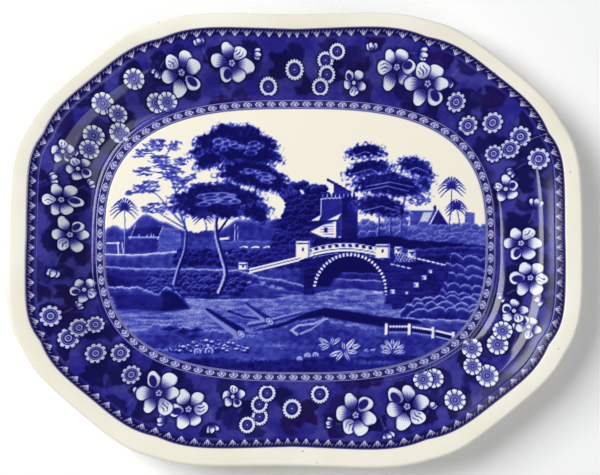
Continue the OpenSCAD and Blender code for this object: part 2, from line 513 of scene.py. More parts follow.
def paint(mesh: bpy.types.Mesh, fields: dict[str, Array]) -> None:
    """Stores numbers on the points of a mesh, by name."""
    for name, numbers in fields.items():
        store = mesh.attributes.new(name, "FLOAT", "POINT")
        store.data.foreach_set("value", np.ascontiguousarray(numbers, dtype=np.float32))


def geometry_tree(name: str, inputs: dict[str, float]) -> tuple[Nodes, dict[str, Value]]:
    """Starts a geometry tree with named inputs.

    Args:
        name: The tree's name.
        inputs: The numbers it takes, with their defaults.

    Returns:
        The tree, and its inputs by name, with Geometry and Material among them.
    """
    tree = bpy.data.node_groups.new(name, "GeometryNodeTree")
    tree.interface.new_socket("Geometry", in_out="INPUT", socket_type="NodeSocketGeometry")
    for label, number in inputs.items():
        tree.interface.new_socket(label, in_out="INPUT", socket_type="NodeSocketFloat").default_value = number
    tree.interface.new_socket("Material", in_out="INPUT", socket_type="NodeSocketMaterial")
    tree.interface.new_socket("Geometry", in_out="OUTPUT", socket_type="NodeSocketGeometry")
    nodes = Nodes(tree)
    entry = nodes.add("NodeGroupInput")
    return nodes, {socket.name: Value(nodes, socket) for socket in entry.outputs if socket.name}


def close_tree(nodes: Nodes, shape: Value, material: Value) -> bpy.types.NodeTree:
    """Ends a geometry tree with smooth shading, Realize Instances and Set Material.

    Args:
        nodes: The tree.
        shape: The geometry so far.
        material: The material to set.

    Returns:
        The finished tree.
    """
    shaded = nodes.add("GeometryNodeSetShadeSmooth", None, {"Geometry": shape, "Shade Smooth": True})
    real = nodes.add("GeometryNodeRealizeInstances", None, {"Geometry": shaded.outputs[0]})
    dressed = nodes.add("GeometryNodeSetMaterial", None, {"Geometry": real.outputs[0], "Material": material})
    nodes.add("NodeGroupOutput", None, {"Geometry": dressed.outputs[0]})
    return nodes.tree


def section_tree(ware: Ware) -> bpy.types.NodeTree:
    """Builds the tree that raises waiting points to the platter's section.

    Args:
        ware: The form, whose sizes become the inputs' defaults.

    Returns:
        The tree.
    """
    nodes, given = geometry_tree("Raise On Section", {
        "Floor Height": ware.floor_height, "Wall Rise": ware.wall_rise, "Rim Rise": ware.rim_rise,
        "Wall End": ware.wall_end, "Rim Start": ware.rim_start, "Floor Thickness": ware.floor_thickness,
        "Rim Thickness": ware.rim_thickness, "Mean Way": ware.mean_way, "Edge Growth": ware.glaze_thickness})
    share, turn, lift = (nodes.named(name) for name in ("share", "turn", "lift"))

    def ease(way: Value) -> Value:
        """Returns a smooth step from 0 to 1."""
        held = way.most(0.0).least(1.0)
        return held * held * (3.0 - held * 2.0)

    def face(at: Value) -> Value:
        """Returns the height of the face at a share of the way out."""
        rim_way = (at - given["Rim Start"]) / (1.0 - given["Rim Start"])
        return given["Floor Height"] + given["Wall Rise"] * ease(at / given["Wall End"]) \
            + given["Rim Rise"] * ease(rim_way)

    probe = 0.005
    slope = (face(share + probe) - face(share - probe)) / (given["Mean Way"] * (2 * probe))
    thickness = given["Floor Thickness"] + (given["Rim Thickness"] - given["Floor Thickness"]) * share
    back = face(share) - thickness * nodes.math("SQRT", slope * slope + 1.0)
    radius = given["Rim Thickness"] * 0.5
    top = given["Floor Height"] + given["Wall Rise"] + given["Rim Rise"]
    edge = top - radius + (radius + given["Edge Growth"]) * nodes.math("COSINE", turn)
    on_back, off_face = turn > Side.BACK.value - 0.01, turn > Side.FACE.value + 0.01
    height = nodes.choose(off_face, nodes.choose(on_back, back, edge), face(share)) + lift
    up = nodes.add("ShaderNodeCombineXYZ", None, {"Z": height})
    raised = nodes.add("GeometryNodeSetPosition", None,
                       {"Geometry": given["Geometry"], "Offset": up.outputs[0]})
    return close_tree(nodes, Value(nodes, raised.outputs[0]), given["Material"])


def grow(piece: bpy.types.Object, tree: bpy.types.NodeTree, material: bpy.types.Material,
         inputs: dict[str, float] | None = None) -> bpy.types.Object:
    """Runs a geometry tree on an object and keeps the plain mesh that comes out.

    Args:
        piece: The object.
        tree: The tree.
        material: What the tree dresses it in.
        inputs: Values of the tree's inputs, by name, other than its defaults.

    Returns:
        The same object, with its modifier removed.
    """
    modifier = piece.modifiers.new("grow", "NODES")
    modifier.node_group = tree
    wanted = {**(inputs or {}), "Material": material}
    for item in tree.interface.items_tree:
        if item.in_out == "INPUT" and item.name in wanted:
            modifier[item.identifier] = wanted[item.name]
    seen = piece.evaluated_get(bpy.context.evaluated_depsgraph_get())
    plain = bpy.data.meshes.new_from_object(seen, preserve_all_data_layers=True,
                                            depsgraph=bpy.context.evaluated_depsgraph_get())
    piece.modifiers.remove(modifier)
    waiting = piece.data
    piece.data = plain
    plain.name = piece.name
    bpy.data.meshes.remove(waiting)
    for spent in ("share", "turn", "lift"):
        if spent in plain.attributes:
            plain.attributes.remove(plain.attributes[spent])
    return piece


def present(piece: bpy.types.Object, slot: str, stands_for: tuple[str, ...]) -> None:
    """Hands a finished piece to the frame.

    Args:
        piece: The piece.
        slot: The name of its material slot, which is only written to the log.
        stands_for: The CAD nodes that it replaces.
    """
    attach(piece, BODY)
    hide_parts(*stands_for)
    LOG.info("%s: %d points, slot %s", piece.name, len(piece.data.vertices), slot)


# ---- Drawing on the films ----


class Film:
    """The points of a printed film, in millimetres, and the fields drawn on them."""

    def __init__(self, places: Array, fields: dict[str, float]) -> None:
        """Sorts the points for quick finding, and starts each field at a number.

        Args:
            places: The plan of the points, in metres.
            fields: Names and first values.
        """
        self.order = np.argsort(places[:, 0], kind="stable")
        self.x, self.y = (places[self.order] / MM).T
        self.fields = {name: np.full(len(self.x), float(start)) for name, start in fields.items()}

    def near(self, x: float, y: float, reach: float) -> tuple[Array, Array, Array]:
        """Finds the points round a place.

        Args:
            x: The place.
            y: The place.
            reach: How far from it they may lie along each axis.

        Returns:
            Their numbers, and their offsets from the place.
        """
        first, last = np.searchsorted(self.x, (x - reach, x + reach))
        index = first + np.flatnonzero(np.abs(self.y[first:last] - y) < reach)
        return index, self.x[index] - x, self.y[index] - y

    def turned(self, x: float, y: float, angle: float, reach: float) -> tuple[Array, Array, Array]:
        """Finds the points round a place, with offsets along and across a direction in radians."""
        index, right, up = self.near(x, y, reach)
        cosine, sine = math.cos(angle), math.sin(angle)
        return index, right * cosine + up * sine, up * cosine - right * sine

    def widen(self, name: str, index: Array, depth: Array) -> None:
        """Joins a shape to a field of depths, which are positive inside a shape."""
        self.fields[name][index] = np.maximum(self.fields[name][index], depth)

    def rough(self, index: Array, size: float) -> Array:
        """Returns a smooth uneven number, mostly between -1 and 1, at each of some points.

        Args:
            index: The points.
            size: About how far apart its crests lie.
        """
        x, y = self.x[index] * 6 / size, self.y[index] * 6 / size
        total = np.zeros(len(index))
        for number in range(5):
            turn, pace = number * 1.3 + 0.4, 1 + 0.21 * number
            total += np.cos((x * math.cos(turn) + y * math.sin(turn)) * pace + 1.4 * np.sin(y * 0.4 + number))
        return total / 3

    def cover(self, name: str, index: Array, amount: Array, value: Array | float) -> None:
        """Lays a value over a field at some points; amount is how much of it shows, from 0 to 1."""
        old = self.fields[name][index]
        self.fields[name][index] = old + (value - old) * amount

    def unsorted(self) -> dict[str, Array]:
        """Returns the fields in the order in which the points were given."""
        back = np.empty_like(self.order)
        back[self.order] = np.arange(len(back))
        return {name: numbers[back] for name, numbers in self.fields.items()}


def filled(depth: Array, soft: float = 0.5) -> Array:
    """Turns depth inside a shape, in millimetres, into coverage with a soft edge."""
    return np.clip(0.5 + depth / soft, 0, 1)


def ridge(offset: Array, width: float) -> Array:
    """Returns 1 where an offset is 0, falling off smoothly over a width."""
    return np.exp(-((offset / width) ** 2))


def eased(way: Array) -> Array:
    """Returns a smooth step from 0 to 1."""
    held = np.clip(way, 0, 1)
    return held * held * (3 - 2 * held)


def distance(x: Array, y: Array, start: Array, end: Array) -> tuple[Array, Array, Array]:
    """Measures from points to a straight line between two places.

    Args:
        x: The points.
        y: The points.
        start: Where the line starts.
        end: Where it ends.

    Returns:
        The distance to the line, how far along it the nearest place is, and which side the point is on.
    """
    line = end - start
    length = float(np.hypot(*line)) or 1.0
    right, up = x - start[0], y - start[1]
    way = np.clip((right * line[0] + up * line[1]) / length**2, 0, 1)
    gap = np.hypot(right - line[0] * way, up - line[1] * way)
    return gap, way, (line[0] * up - line[1] * right) / length


def curved(path: Path, steps: int = 4) -> Path:
    """Returns a path with more points, which bends smoothly through those of a coarse one."""
    points = np.array([path[0], *path, path[-1]], float)
    fine = []
    for before, start, end, after in zip(points, points[1:], points[2:], points[3:]):
        square, cube = 2 * before - 5 * start + 4 * end - after, 3 * (start - end) + after - before
        for way in np.arange(steps) / steps:
            fine.append(tuple(start + ((end - before) * way + square * way**2 + cube * way**3) / 2))
    return [*fine, path[-1]]


class Flower(Enum):
    """The kinds of small round flower in the border."""

    SCALLOPED = "scalloped"
    RAYED = "rayed"
    RINGED = "ringed"


class Petal(Enum):
    """How a blossom's petal is shaded."""

    OPEN = "open"
    VEINED = "veined"
    HOLLOW = "hollow"


# Each row is a bearing in degrees, a place across the border from 0 to 1, and a size in millimetres.
BLOSSOMS = ((113.8, 0.55, 16), (101.6, 0.6, 15.5), (68.9, 0.58, 15), (59.6, 0.47, 16), (79.6, 0.3, 8.5),
            (156.5, 0.72, 8.5), (160.5, 0.42, 9), (171, 0.6, 13.5), (179.5, 0.44, 13.5), (193, 0.24, 9.5))
BUDS = ((108.5, 0.86, 6), (97.5, 0.75, 5.5), (64.5, 0.86, 6.5), (74.5, 0.75, 6), (165.5, 0.85, 6),
        (186.5, 0.66, 6.5), (153.5, 0.62, 6), (54, 0.7, 5.5), (119.5, 0.7, 5.5), (166, 0.25, 5),
        (199, 0.45, 5))
SMALL_FLOWERS = {
    Flower.SCALLOPED: ((126.8, 0.73, 7.6), (137.6, 0.72, 8), (136.6, 0.43, 6.4), (124.4, 0.25, 7),
                       (120.8, 0.2, 7.2), (147.4, 0.45, 7.4), (141.5, 0.18, 7.4), (152.7, 0.4, 6.8)),
    Flower.RAYED: ((90, 0.5, 7), (93.4, 0.23, 6.8), (85, 0.64, 6.2), (82.3, 0.78, 6), (85.2, 0.42, 6.4),
                   (86.8, 0.22, 6.4)),
    Flower.RINGED: ((49.6, 0.42, 7), (41.4, 0.23, 7), (36.7, 0.52, 7.4), (28.8, 0.73, 7.8), (26.2, 0.5, 7),
                    (26.8, 0.25, 6.4), (20.7, 0.82, 8)),
}


@dataclass
class Border:
    """The wide flowered border, which repeats after a half turn."""

    ware: Ware
    film: Film
    floor: Array
    rim: Array
    end: Array
    chance: np.random.Generator = field(default_factory=lambda: np.random.default_rng(17))

    def spot(self, bearing: float, across: float) -> Pair:
        """Finds a place on the border.

        Args:
            bearing: Its bearing from the centre in degrees, as on a circle stretched to the platter.
            across: 0 at the floor's outline and 1 at the edging.

        Returns:
            Its plan, in millimetres.
        """
        turn = np.arctan2(self.rim[:, 1] / self.ware.half_width, self.rim[:, 0] / self.ware.half_length)
        gap = np.angle(np.exp(1j * (turn - math.radians(bearing))))
        column = int(np.argmin(np.abs(gap)))
        share = self.end[column] * across
        place = self.floor[column] + (self.rim[column] - self.floor[column]) * share
        return float(place[0] / MM), float(place[1] / MM)

    def petal(self, centre: Pair, angle: float, length: float, width: float,
              kind: Petal) -> None:
        """Draws one petal of a blossom over what is there.

        Args:
            centre: The blossom's centre.
            angle: The petal's direction, in radians.
            length: From the centre to its tip.
            width: Its greatest width.
            kind: How it is shaded.
        """
        index, along, across = self.film.turned(*centre, angle, length * 1.4)
        share = along / length
        side = across - 0.08 * length * math.sin(angle * 5) * np.clip(share, 0, 1) ** 2
        middle, long_half, wide_half = 0.63 * length, 0.37 * length, 0.5 * width
        pinch = 1 - 0.3 * np.clip((middle - along) / long_half, 0, 1) ** 1.2
        wave = 1 + 0.07 * np.cos(3 * np.arctan2(side, along - middle) + angle * 3)
        out = np.hypot((along - middle) / long_half, side / (wide_half * pinch))
        depth = (wave - out) * min(long_half, wide_half)
        self.film.cover("shade", index, filled(depth + 0.8, 0.8), 1.0)
        self.film.widen("flower", index, depth)
        streak = 0.5 + 0.5 * np.cos(side / np.maximum(along, 1.0) * 34 + angle * 7)
        reach = 0.72 + 0.08 * math.sin(angle * 11)
        shade = np.clip((reach - share + 0.06 * streak) / 0.42, 0, 1) ** 0.9 * (0.78 + 0.22 * streak)
        shade = np.maximum(shade, 0.5 * filled(0.9 - depth, 1.2) * (side < 0) * (share < 0.9))
        if kind is Petal.VEINED:
            curl = np.sin(side * 2.4 + np.sin(along * 0.9) * 1.6) * ridge(out, 0.62)
            shade = np.maximum(shade * 0.55, 0.8 * (curl > 0.3))
        elif kind is Petal.HOLLOW:
            inner = np.hypot((along - middle * 0.94) / (long_half * 0.74),
                             (side - 0.08 * width) / (wide_half * 0.58))
            shade = np.maximum(shade * 0.6, 0.98 * filled((1 - inner) * 3, 0.9))
        self.film.cover("shade", index, filled(depth, 0.6), np.clip(shade, 0, 1))

    def blossom(self, centre: Pair, size: float, angle: float) -> None:
        """Draws a wide blossom of parted petals with a small tuft of stamens.

        Args:
            centre: Its centre.
            size: From the centre to the tips.
            angle: The direction of its first petal, in radians.
        """
        petals = 6 if size > 12 else 5
        kinds = [Petal.OPEN, Petal.VEINED, Petal.OPEN, Petal.OPEN, Petal.HOLLOW, Petal.OPEN]
        for number in range(petals):
            turn = angle + FULL_TURN * number / petals + self.chance.uniform(-0.1, 0.1)
            length = size * self.chance.uniform(0.86, 1.1)
            width = size * self.chance.uniform(0.56, 0.7) * 6 / petals
            self.petal(centre, turn, length, width, kinds[number])
        index, right, up = self.film.near(*centre, size * 0.4)
        out = np.hypot(right, up)
        self.film.widen("flower", index, size * 0.16 - out)
        self.film.cover("shade", index, filled(size * 0.16 - out, 0.6), 0.72)
        for number in range(5):
            turn = angle + number * 1.26
            gap = np.hypot(right - math.cos(turn) * size * 0.1, up - math.sin(turn) * size * 0.1)
            self.film.cover("shade", index, filled(0.5 - gap, 0.6), 0.05)

    def bud(self, centre: Pair, size: float, angle: float) -> None:
        """Draws a half closed bud of three narrow petals on a stalk.

        Args:
            centre: Its foot.
            size: Its length.
            angle: Its direction, in radians.
        """
        self.stem(centre, angle + math.pi, size * 1.6)
        for lean in (-0.5, 0.5, 0.0):
            self.petal(centre, angle + lean, size * 1.25, size * 0.6, Petal.OPEN)

    def small_flower(self, kind: Flower, centre: Pair, size: float, angle: float) -> None:
        """Draws a small round flower.

        Args:
            kind: Its kind.
            centre: Its centre.
            size: Its radius.
            angle: How far it is turned, in radians.
        """
        index, right, up = self.film.near(*centre, size * 1.4)
        out, turn = np.hypot(right, up) / size, np.arctan2(up, right) - angle
        if kind is Flower.SCALLOPED:
            lobes = np.abs(np.cos(10 * turn / 2))
            depth = (0.9 + 0.1 * lobes**0.5 - out) * size
            shade = 1.0 * (lobes < 0.3) * (out > 0.58) + 0.3 * ridge(out - 0.68, 0.08)
            rings = [(0.6, 0.92), (0.55, 0.3), (0.5, 0.78), (0.36, 0.5), (0.26, 0.95), (0.12, 0.3),
                     (0.06, 0.9)]
        elif kind is Flower.RAYED:
            lobes = np.abs(np.cos(18 * turn / 2))
            depth = (0.84 + 0.16 * lobes - out) * size
            shade = 0.2 * ridge(out - 0.84, 0.05) + 0.35 * eased((0.74 - out) / 0.14)
            rings = [(0.64, 0.97), (0.34, 0.66), (0.26, 0.97), (0.1, 0.35)]
        else:
            lobes = np.abs(np.cos(10 * turn / 2))
            depth = (0.84 + 0.16 * lobes - out) * size
            shade = 0.7 * (lobes < 0.42) * (out > 0.78) + 0.26
            rings = [(0.66, 0.9), (0.56, 0.4), (0.5, 0.94), (0.31, 0.22), (0.22, 0.92), (0.08, 0.45)]
        for radius, tone in rings:
            shade = shade + (tone - shade) * filled((radius - out) * size, 0.5)
        self.film.cover("shade", index, filled(depth + 0.9, 0.6), 1.0)
        self.film.cover("shade", index, filled(depth, 0.5), np.clip(shade, 0, 1))
        self.film.widen("flower", index, depth)

    def leaf(self, foot: Pair, angle: float, length: float, width: float, deep: float) -> None:
        """Draws a broad soft-edged leaf with a lobed outline.

        Args:
            foot: Its stalk's end.
            angle: Its direction, in radians.
            length: Its length.
            width: Its greatest width.
            deep: How dark it is, from 0 to 1.
        """
        index, along, across = self.film.turned(*foot, angle, length * 1.2)
        share = along / length
        side = across - 0.1 * length * math.sin(angle * 5) * share * (1 - share) * 4
        body = np.clip(np.sin(np.clip(share, 0, 1) ** 0.8 * math.pi), 0, 1) ** 0.6
        lobes = 0.8 + 0.2 * np.abs(np.sin(share * 9 + 0.6 * np.sign(side)))
        depth = 0.5 * width * body * lobes - np.abs(side) + self.film.rough(index, 6) * 0.3
        inside = (share > 0) & (share < 1)
        self.film.cover("leaf", index, filled(depth - 0.8, 3.0) * inside, deep)

    def stem(self, start: Pair, angle: float, length: float) -> None:
        """Draws a thin pale stalk from a place, in a direction in radians."""
        index, along, across = self.film.turned(*start, angle, length)
        inside = (along > 0) & (along < length)
        self.film.cover("vein", index, ridge(across - 0.5 * np.sin(along / 3), 0.4) * inside * 0.9, 1.0)

    def foliage(self) -> None:
        """Fills the ground with three ranks of sprays, each of three leaves."""
        for across, step in ((0.12, 7.5), (0.46, 6.4), (0.86, 5.6)):
            for bearing in np.arange(0, 180, step):
                here = bearing + self.chance.uniform(-1.5, 1.5)
                lean = self.chance.uniform(0, FULL_TURN)
                size, deep = self.chance.uniform(13, 21), self.chance.uniform(0.6, 1.0)
                spread = self.chance.uniform(0.45, 0.7)
                for half in (0, 1):
                    foot = self.spot(here + 180 * half, across)
                    for side in (-1, 0, 1):
                        turn = lean + math.pi * half + side * spread * 1.4
                        self.leaf(foot, turn, size * (1 - 0.2 * abs(side)), size * 0.62, deep)

    def draw(self) -> None:
        """Draws the whole border."""
        self.foliage()
        for half in (0, 1):
            turn = math.pi * half
            for bearing, across, size in BUDS:
                self.bud(self.spot(bearing + 180 * half, across), size, math.radians(bearing * 11) + turn)
            for bearing, across, size in BLOSSOMS:
                self.blossom(self.spot(bearing + 180 * half, across), size, math.radians(bearing * 7) + turn)
            for kind, flowers in SMALL_FLOWERS.items():
                for bearing, across, size in flowers:
                    place = self.spot(bearing + 180 * half, across)
                    self.small_flower(kind, place, size, math.radians(bearing * 3) + turn)


@dataclass
class Landscape:
    """A river scene, drawn from the far distance to the near bank."""

    film: Film
    chance: np.random.Generator = field(default_factory=lambda: np.random.default_rng(5))

    def ink(self, index: Array, amount: Array, tone: Array | float, grain: float | None = None) -> None:
        """Lays a tone, and with it how strongly the engraver's lines show.

        Args:
            index: The points.
            amount: How much of the tone shows at each.
            tone: 0 is bare clay and 1 is the deepest ink.
            grain: 0 is plain and 1 is full of lines.
        """
        self.film.cover("ink", index, amount, tone)
        if grain is not None:
            self.film.cover("grain", index, amount, grain)

    def ground(self, line: Path, tone: float, grain: float, rough: float = 0.6, crest: float = 0.0,
               lobes: float = 0.0) -> None:
        """Lays a tone below a line that runs over the whole scene or a part of it.

        Args:
            line: The line's points, from left to right.
            tone: Its tone.
            grain: How strongly the lines show.
            rough: How uneven the line is, in millimetres.
            crest: How much paler it is along the line.
            lobes: The height of round lobes along the line.
        """
        knots = np.array(line, float)
        index = np.flatnonzero((self.film.x >= knots[0, 0]) & (self.film.x <= knots[-1, 0]))
        x, y = self.film.x[index], self.film.y[index]
        step = np.clip(np.searchsorted(knots[:, 0], x, "right") - 1, 0, len(knots) - 2)
        way = (x - knots[step, 0]) / (knots[step + 1, 0] - knots[step, 0])
        height = knots[step, 1] + (knots[step + 1, 1] - knots[step, 1]) * eased(way)
        phase = knots[0, 1]
        height = height + rough * (np.sin(x * 0.55 + phase) * 0.5 + np.sin(x * 1.7 + phase * 2) * 0.3)
        round_top = np.sqrt(np.abs(np.sin(x * 0.3 + phase + 0.5 * np.sin(x * 0.17 + phase))))
        depth = height + lobes * round_top - y
        fade = 0.8 * crest * (ridge(depth - 0.7, 0.8) + 0.35 * ridge(np.maximum(depth - 0.7, 0), 3.2))
        shown = np.maximum(tone - fade + self.film.rough(index, 9) * 0.05, 0.04)
        self.ink(index, filled(depth, 0.8), shown, grain)

    def area(self, outline: Path, tone: float, grain: float = 0.2, soft: float = 0.7) -> None:
        """Fills an outline.

        Args:
            outline: Its corners, in order.
            tone: Its tone.
            grain: How strongly the lines show.
            soft: The width of its edge.
        """
        corners = np.array(outline, float)
        low, high = corners.min(0) - 2, corners.max(0) + 2
        x, y = self.film.x, self.film.y
        index = np.flatnonzero((x > low[0]) & (x < high[0]) & (y > low[1]) & (y < high[1]))
        x, y = x[index], y[index]
        gap, inside = np.full(len(index), 9.0), np.zeros(len(index), bool)
        for start, end in zip(corners, np.roll(corners, -1, 0)):
            gap = np.minimum(gap, distance(x, y, start, end)[0])
            crosses = (start[1] > y) != (end[1] > y)
            rise = end[1] - start[1] if end[1] != start[1] else 1.0
            inside ^= crosses & (x < start[0] + (end[0] - start[0]) * (y - start[1]) / rise)
        self.ink(index, filled(np.where(inside, gap, -gap), soft), tone, grain)

    def block(self, box: Box, tone: float, grain: float = 0.0) -> None:
        """Fills an upright box, given as its left, bottom, right and top."""
        left, bottom, right, top = box
        self.area([(left, bottom), (right, bottom), (right, top), (left, top)], tone, grain)

    def stroke(self, path: Path, widths: Pair, tone: float, light: float | None = None) -> None:
        """Draws a tapered line.

        Args:
            path: Its points.
            widths: Its width at the start and at the end.
            tone: Its tone.
            light: The tone of its left side, if it is lit.
        """
        points = np.array(path, float)
        legs = len(points) - 1
        for number in range(legs):
            start, end = points[number], points[number + 1]
            middle, reach = (start + end) / 2, np.hypot(*(end - start)) / 2 + max(widths)
            index, right, up = self.film.near(*middle, reach)
            gap, way, side = distance(right + middle[0], up + middle[1], start, end)
            share = (number + way) / legs
            half = 0.5 * (widths[0] + (widths[1] - widths[0]) * share)
            lit = 0.0 if light is None else (light - tone) * filled(side * np.sign(end[1] - start[1]), 0.8)
            self.ink(index, filled(half - gap, 0.5), tone + lit, 0.0)

    def crown(self, centre: Pair, size: Pair, lean: float = 0.0,
              tone: float = 0.95, cells: int = 0) -> None:
        """Draws a flat crown of dark foliage in tufts, with a feathered edge.

        Args:
            centre: Its middle.
            size: Its half width and its half height.
            lean: How it slopes, in radians.
            tone: Its tone.
            cells: How many pale outlines of leaves show in its heart.
        """
        index, along, across = self.film.turned(*centre, lean, max(size) * 1.35)
        arch = across + size[1] * 0.4 * (along / size[0]) ** 2
        turn = np.arctan2(arch / size[1], along / size[0])
        tufts = 0.16 * np.abs(np.sin(turn * 4.5 + centre[0])) + 0.07 * np.abs(np.sin(turn * 10 + centre[1]))
        out = np.hypot(along / size[0], arch / size[1])
        uneven = self.film.rough(index, 6.0) * 1.2 + self.film.rough(index, 3.2) * 0.35
        depth = (0.92 + tufts - out) * size[1] + uneven
        fringe = filled(depth + 1.4, 2.4) * np.clip(0.75 + self.film.rough(index, 3.4) * 0.9, 0, 1)
        self.ink(index, fringe, 0.55, 0.2)
        tufted = tone - 0.3 * ridge(depth - 0.2, 0.9) - 0.12 * np.clip(self.film.rough(index, 7), 0, 1)
        self.ink(index, filled(depth, 1.0), tufted, 0.3)
        for number in range(cells * 3):
            aside, row = self.chance.uniform(-1, 1), number % 3
            x, y = aside * size[0] * (0.56 - 0.1 * row), (0.3 - 0.19 * row - 0.3 * aside**2) * size[1]
            wide, high = size[0] * self.chance.uniform(0.08, 0.17), size[1] * self.chance.uniform(0.09, 0.15)
            out = np.hypot((along - x) / wide, (across - y - 0.1 * (along - x)) / high)
            self.ink(index, filled(1 - out, 0.3), 0.8)
            self.ink(index, ridge((out - 1) * high, 0.45) * filled((across - y) / high + 1.1, 1.6) * 0.8, 0.3)

    def leaves(self, centre: Pair, size: Pair, count: int, tone: float) -> None:
        """Scatters small flat leaves over an oval.

        Args:
            centre: Its middle.
            size: Its half width and its half height.
            count: How many leaves it has.
            tone: Their tone.
        """
        for _ in range(count):
            out, turn = math.sqrt(self.chance.uniform(0, 1)), self.chance.uniform(0, FULL_TURN)
            x, y = centre[0] + size[0] * out * math.cos(turn), centre[1] + size[1] * out * math.sin(turn)
            lean, length = self.chance.normal(0, 0.5), self.chance.uniform(1.0, 2.2)
            index, along, across = self.film.turned(x, y, lean, 3.4)
            half = 0.42 * np.clip(1 - (along / length) ** 2, 0, 1)
            shown = tone + self.chance.uniform(-0.12, 0.22)
            self.ink(index, filled(half - np.abs(across), 0.9) * (np.abs(along) < length), shown, 0.0)

    def bushes(self, box: Box, size: float, tone: float, light: float) -> None:
        """Fills a box with ranks of round bushes, each lit on its crest.

        Args:
            box: Left, bottom, right and top.
            size: The bushes' radius.
            tone: Their tone.
            light: The tone of their crests.
        """
        left, bottom, right, top = box
        height, rank = top, 0
        while height > bottom:
            for x in np.arange(left + size * (0.5 if rank % 2 else 1.1), right, size * 1.45):
                wide = size * self.chance.uniform(0.7, 1.25)
                by = [self.chance.uniform(-reach, reach) * size for reach in (0.4, 0.35)]
                index, aside, up = self.film.near(x + by[0], height + by[1], wide * 1.3)
                out, turn = np.hypot(aside, up * 1.2), np.arctan2(up, aside)
                depth = wide * (1 + 0.07 * np.sin(turn * 6 + x)) - out + self.film.rough(index, 3) * 0.25
                lit = np.clip((up - 0.25 * aside) / wide, 0, 1)
                shade = tone - (tone - light) * (0.85 * ridge(depth - 0.75, 0.6) * lit**0.5 + 0.3 * lit)
                self.ink(index, filled(depth, 0.7), shade, 0.35)
            rank += 1
            height -= size * 0.8

    def palm(self, head: Pair, foot: Pair, size: float) -> None:
        """Draws a palm with arching fronds.

        Args:
            head: Where its fronds spring.
            foot: The foot of its trunk.
            size: The fronds' length.
        """
        middle = ((head[0] + foot[0]) / 2 + 0.6, (head[1] + foot[1]) / 2)
        self.stroke([foot, middle, head], (1.3, 0.9), 0.7, 0.25)
        for number in range(13):
            turn = math.radians(-38 + number * 21.5)
            right, up = math.cos(turn) * size, math.sin(turn) * size
            tip = (head[0] + right, head[1] + up * 0.7 - size * 0.25)
            bow = (head[0] + right * 0.55, head[1] + up * 0.62 + size * 0.1)
            self.stroke([head, bow, tip], (1.3, 0.45), 0.78)

    def bridge(self) -> None:
        """Draws a stone bridge of one arch with its parapet and its ramp."""
        crown, radius = (40.5, -37.5), 26.8
        index, right, up = self.film.near(*crown, radius * 2.9)
        x, y = right + crown[0], up + crown[1]
        foot = np.where(right < 0, -39.5, -46.0)
        deck = np.where(x > 2, -5.2 - 0.0058 * (x - 37) ** 2, -12.6 + (x - 2) * 0.25)
        over = (y - deck)
        wall = (x > 6) & (x < 74)
        out, turn = np.hypot(right, up * 0.96), np.arctan2(up, right)
        self.ink(index, filled(np.minimum(-over, y - foot), 0.7) * wall * filled(out - radius, 0.6), 0.84,
                 0.7)
        ramp = (x > -35) & (x < 62)
        self.ink(index, filled(1.9 - np.abs(over + 0.2), 0.6) * ramp, 0.04, 0.0)
        thin = np.where(x > 2, 1.0, 0.0)
        self.ink(index, ridge(over + 0.1, 0.35) * ramp * 0.85, 0.85)
        dashes = filled(np.sin(x * 1.25 + over * 0.5) * 1.4 - 0.1, 1.2)
        self.ink(index, filled(1.0 - np.abs(over - 2.6), 0.6) * ramp * thin, 0.06 + 0.85 * dashes, 0.0)
        self.ink(index, ridge(over - 4.0, 0.45) * ramp * thin, 0.12)
        self.ink(index, ridge(over + 3.4, 0.4) * (x > 12) * (x < 66) * 0.8, 0.15)
        for number in range(5):
            course = filled(0.16 - np.abs(over + 6.5 + number * 3.2), 0.5) * wall
            self.ink(index, course * filled(out - radius - 2, 0.6) * 0.35, 0.45)
        above = filled(up + np.where(right < 0, -4.0, 2.0), 1.0)
        self.ink(index, filled(1.9 - np.abs(out - radius), 0.5) * above, 0.9, 0.0)
        ring = filled(1.25 - np.abs(out - radius - 0.1), 0.5) * above
        self.ink(index, filled(np.sin(turn * 62) * 0.9 + 0.3, 0.9) * ring, 0.03, 0.0)
        shadow = filled(radius - 1.7 - out, 0.6) * filled(np.hypot(right - 8, up + 6) - 25, 3.0) * above
        self.ink(index, shadow, 0.98, 0.3)

    def pier(self, left: float, right: float, bottom: float, top: float) -> None:
        """Draws a pale stone pier with a cap and a few joints."""
        self.block((left, bottom, right, top), 0.05, 0.1)
        self.block((right - 1.6, bottom, right, top), 0.35, 0.1)
        self.stroke([(left + 1, top - 1.8), (right - 1, top - 1.8)], (0.9, 0.9), 0.8)
        x, y = (left + right) / 2, (bottom + top) / 2
        self.stroke([(x, y - 0.6), (x, y + 0.6)], (1.5, 1.5), 0.75)

    def wall(self) -> None:
        """Draws the wall and the loose stones that run down from the bridge to the right."""
        self.area([(66, -9), (72, -5), (90, -10), (112, -17), (118, -30), (100, -48), (72, -50), (68, -38)],
                  0.8, 0.9)
        for number in range(7):
            x = 87 + number * 3.6
            self.stroke([(x, -11.5 - number * 0.85), (x + 2.2, -12 - number * 0.85)], (1.3, 1.1), 0.05)
        for number in range(4):
            x = 71 + number * 4
            self.stroke([(x, -16.5 - number * 0.9), (x + 2.2, -17 - number * 0.9)], (1.3, 1.0), 0.1)
        for x, y, size in ((72, -37, 3.2), (89.5, -32, 3.6), (95.5, -26.5, 3.2), (100, -22, 2.6),
                           (82.5, -38, 2)):
            half = size / 2
            self.block((x - half, y - half, x + half, y + half), 0.04)
            self.block((x - half, y - half, x, y + half - 0.8), 0.4)
        for number in range(7):
            x = 73.5 + number * 2.1
            self.stroke([(x, -8.5), (x + 3, -14.5)], (0.5, 0.5), 0.15)
            self.stroke([(x + 3, -8.5), (x, -14.5)], (0.5, 0.5), 0.15)
        self.pier(73.5, 79, -8.5, -3.5)
        self.pier(83.5, 89, -11.5, -6)

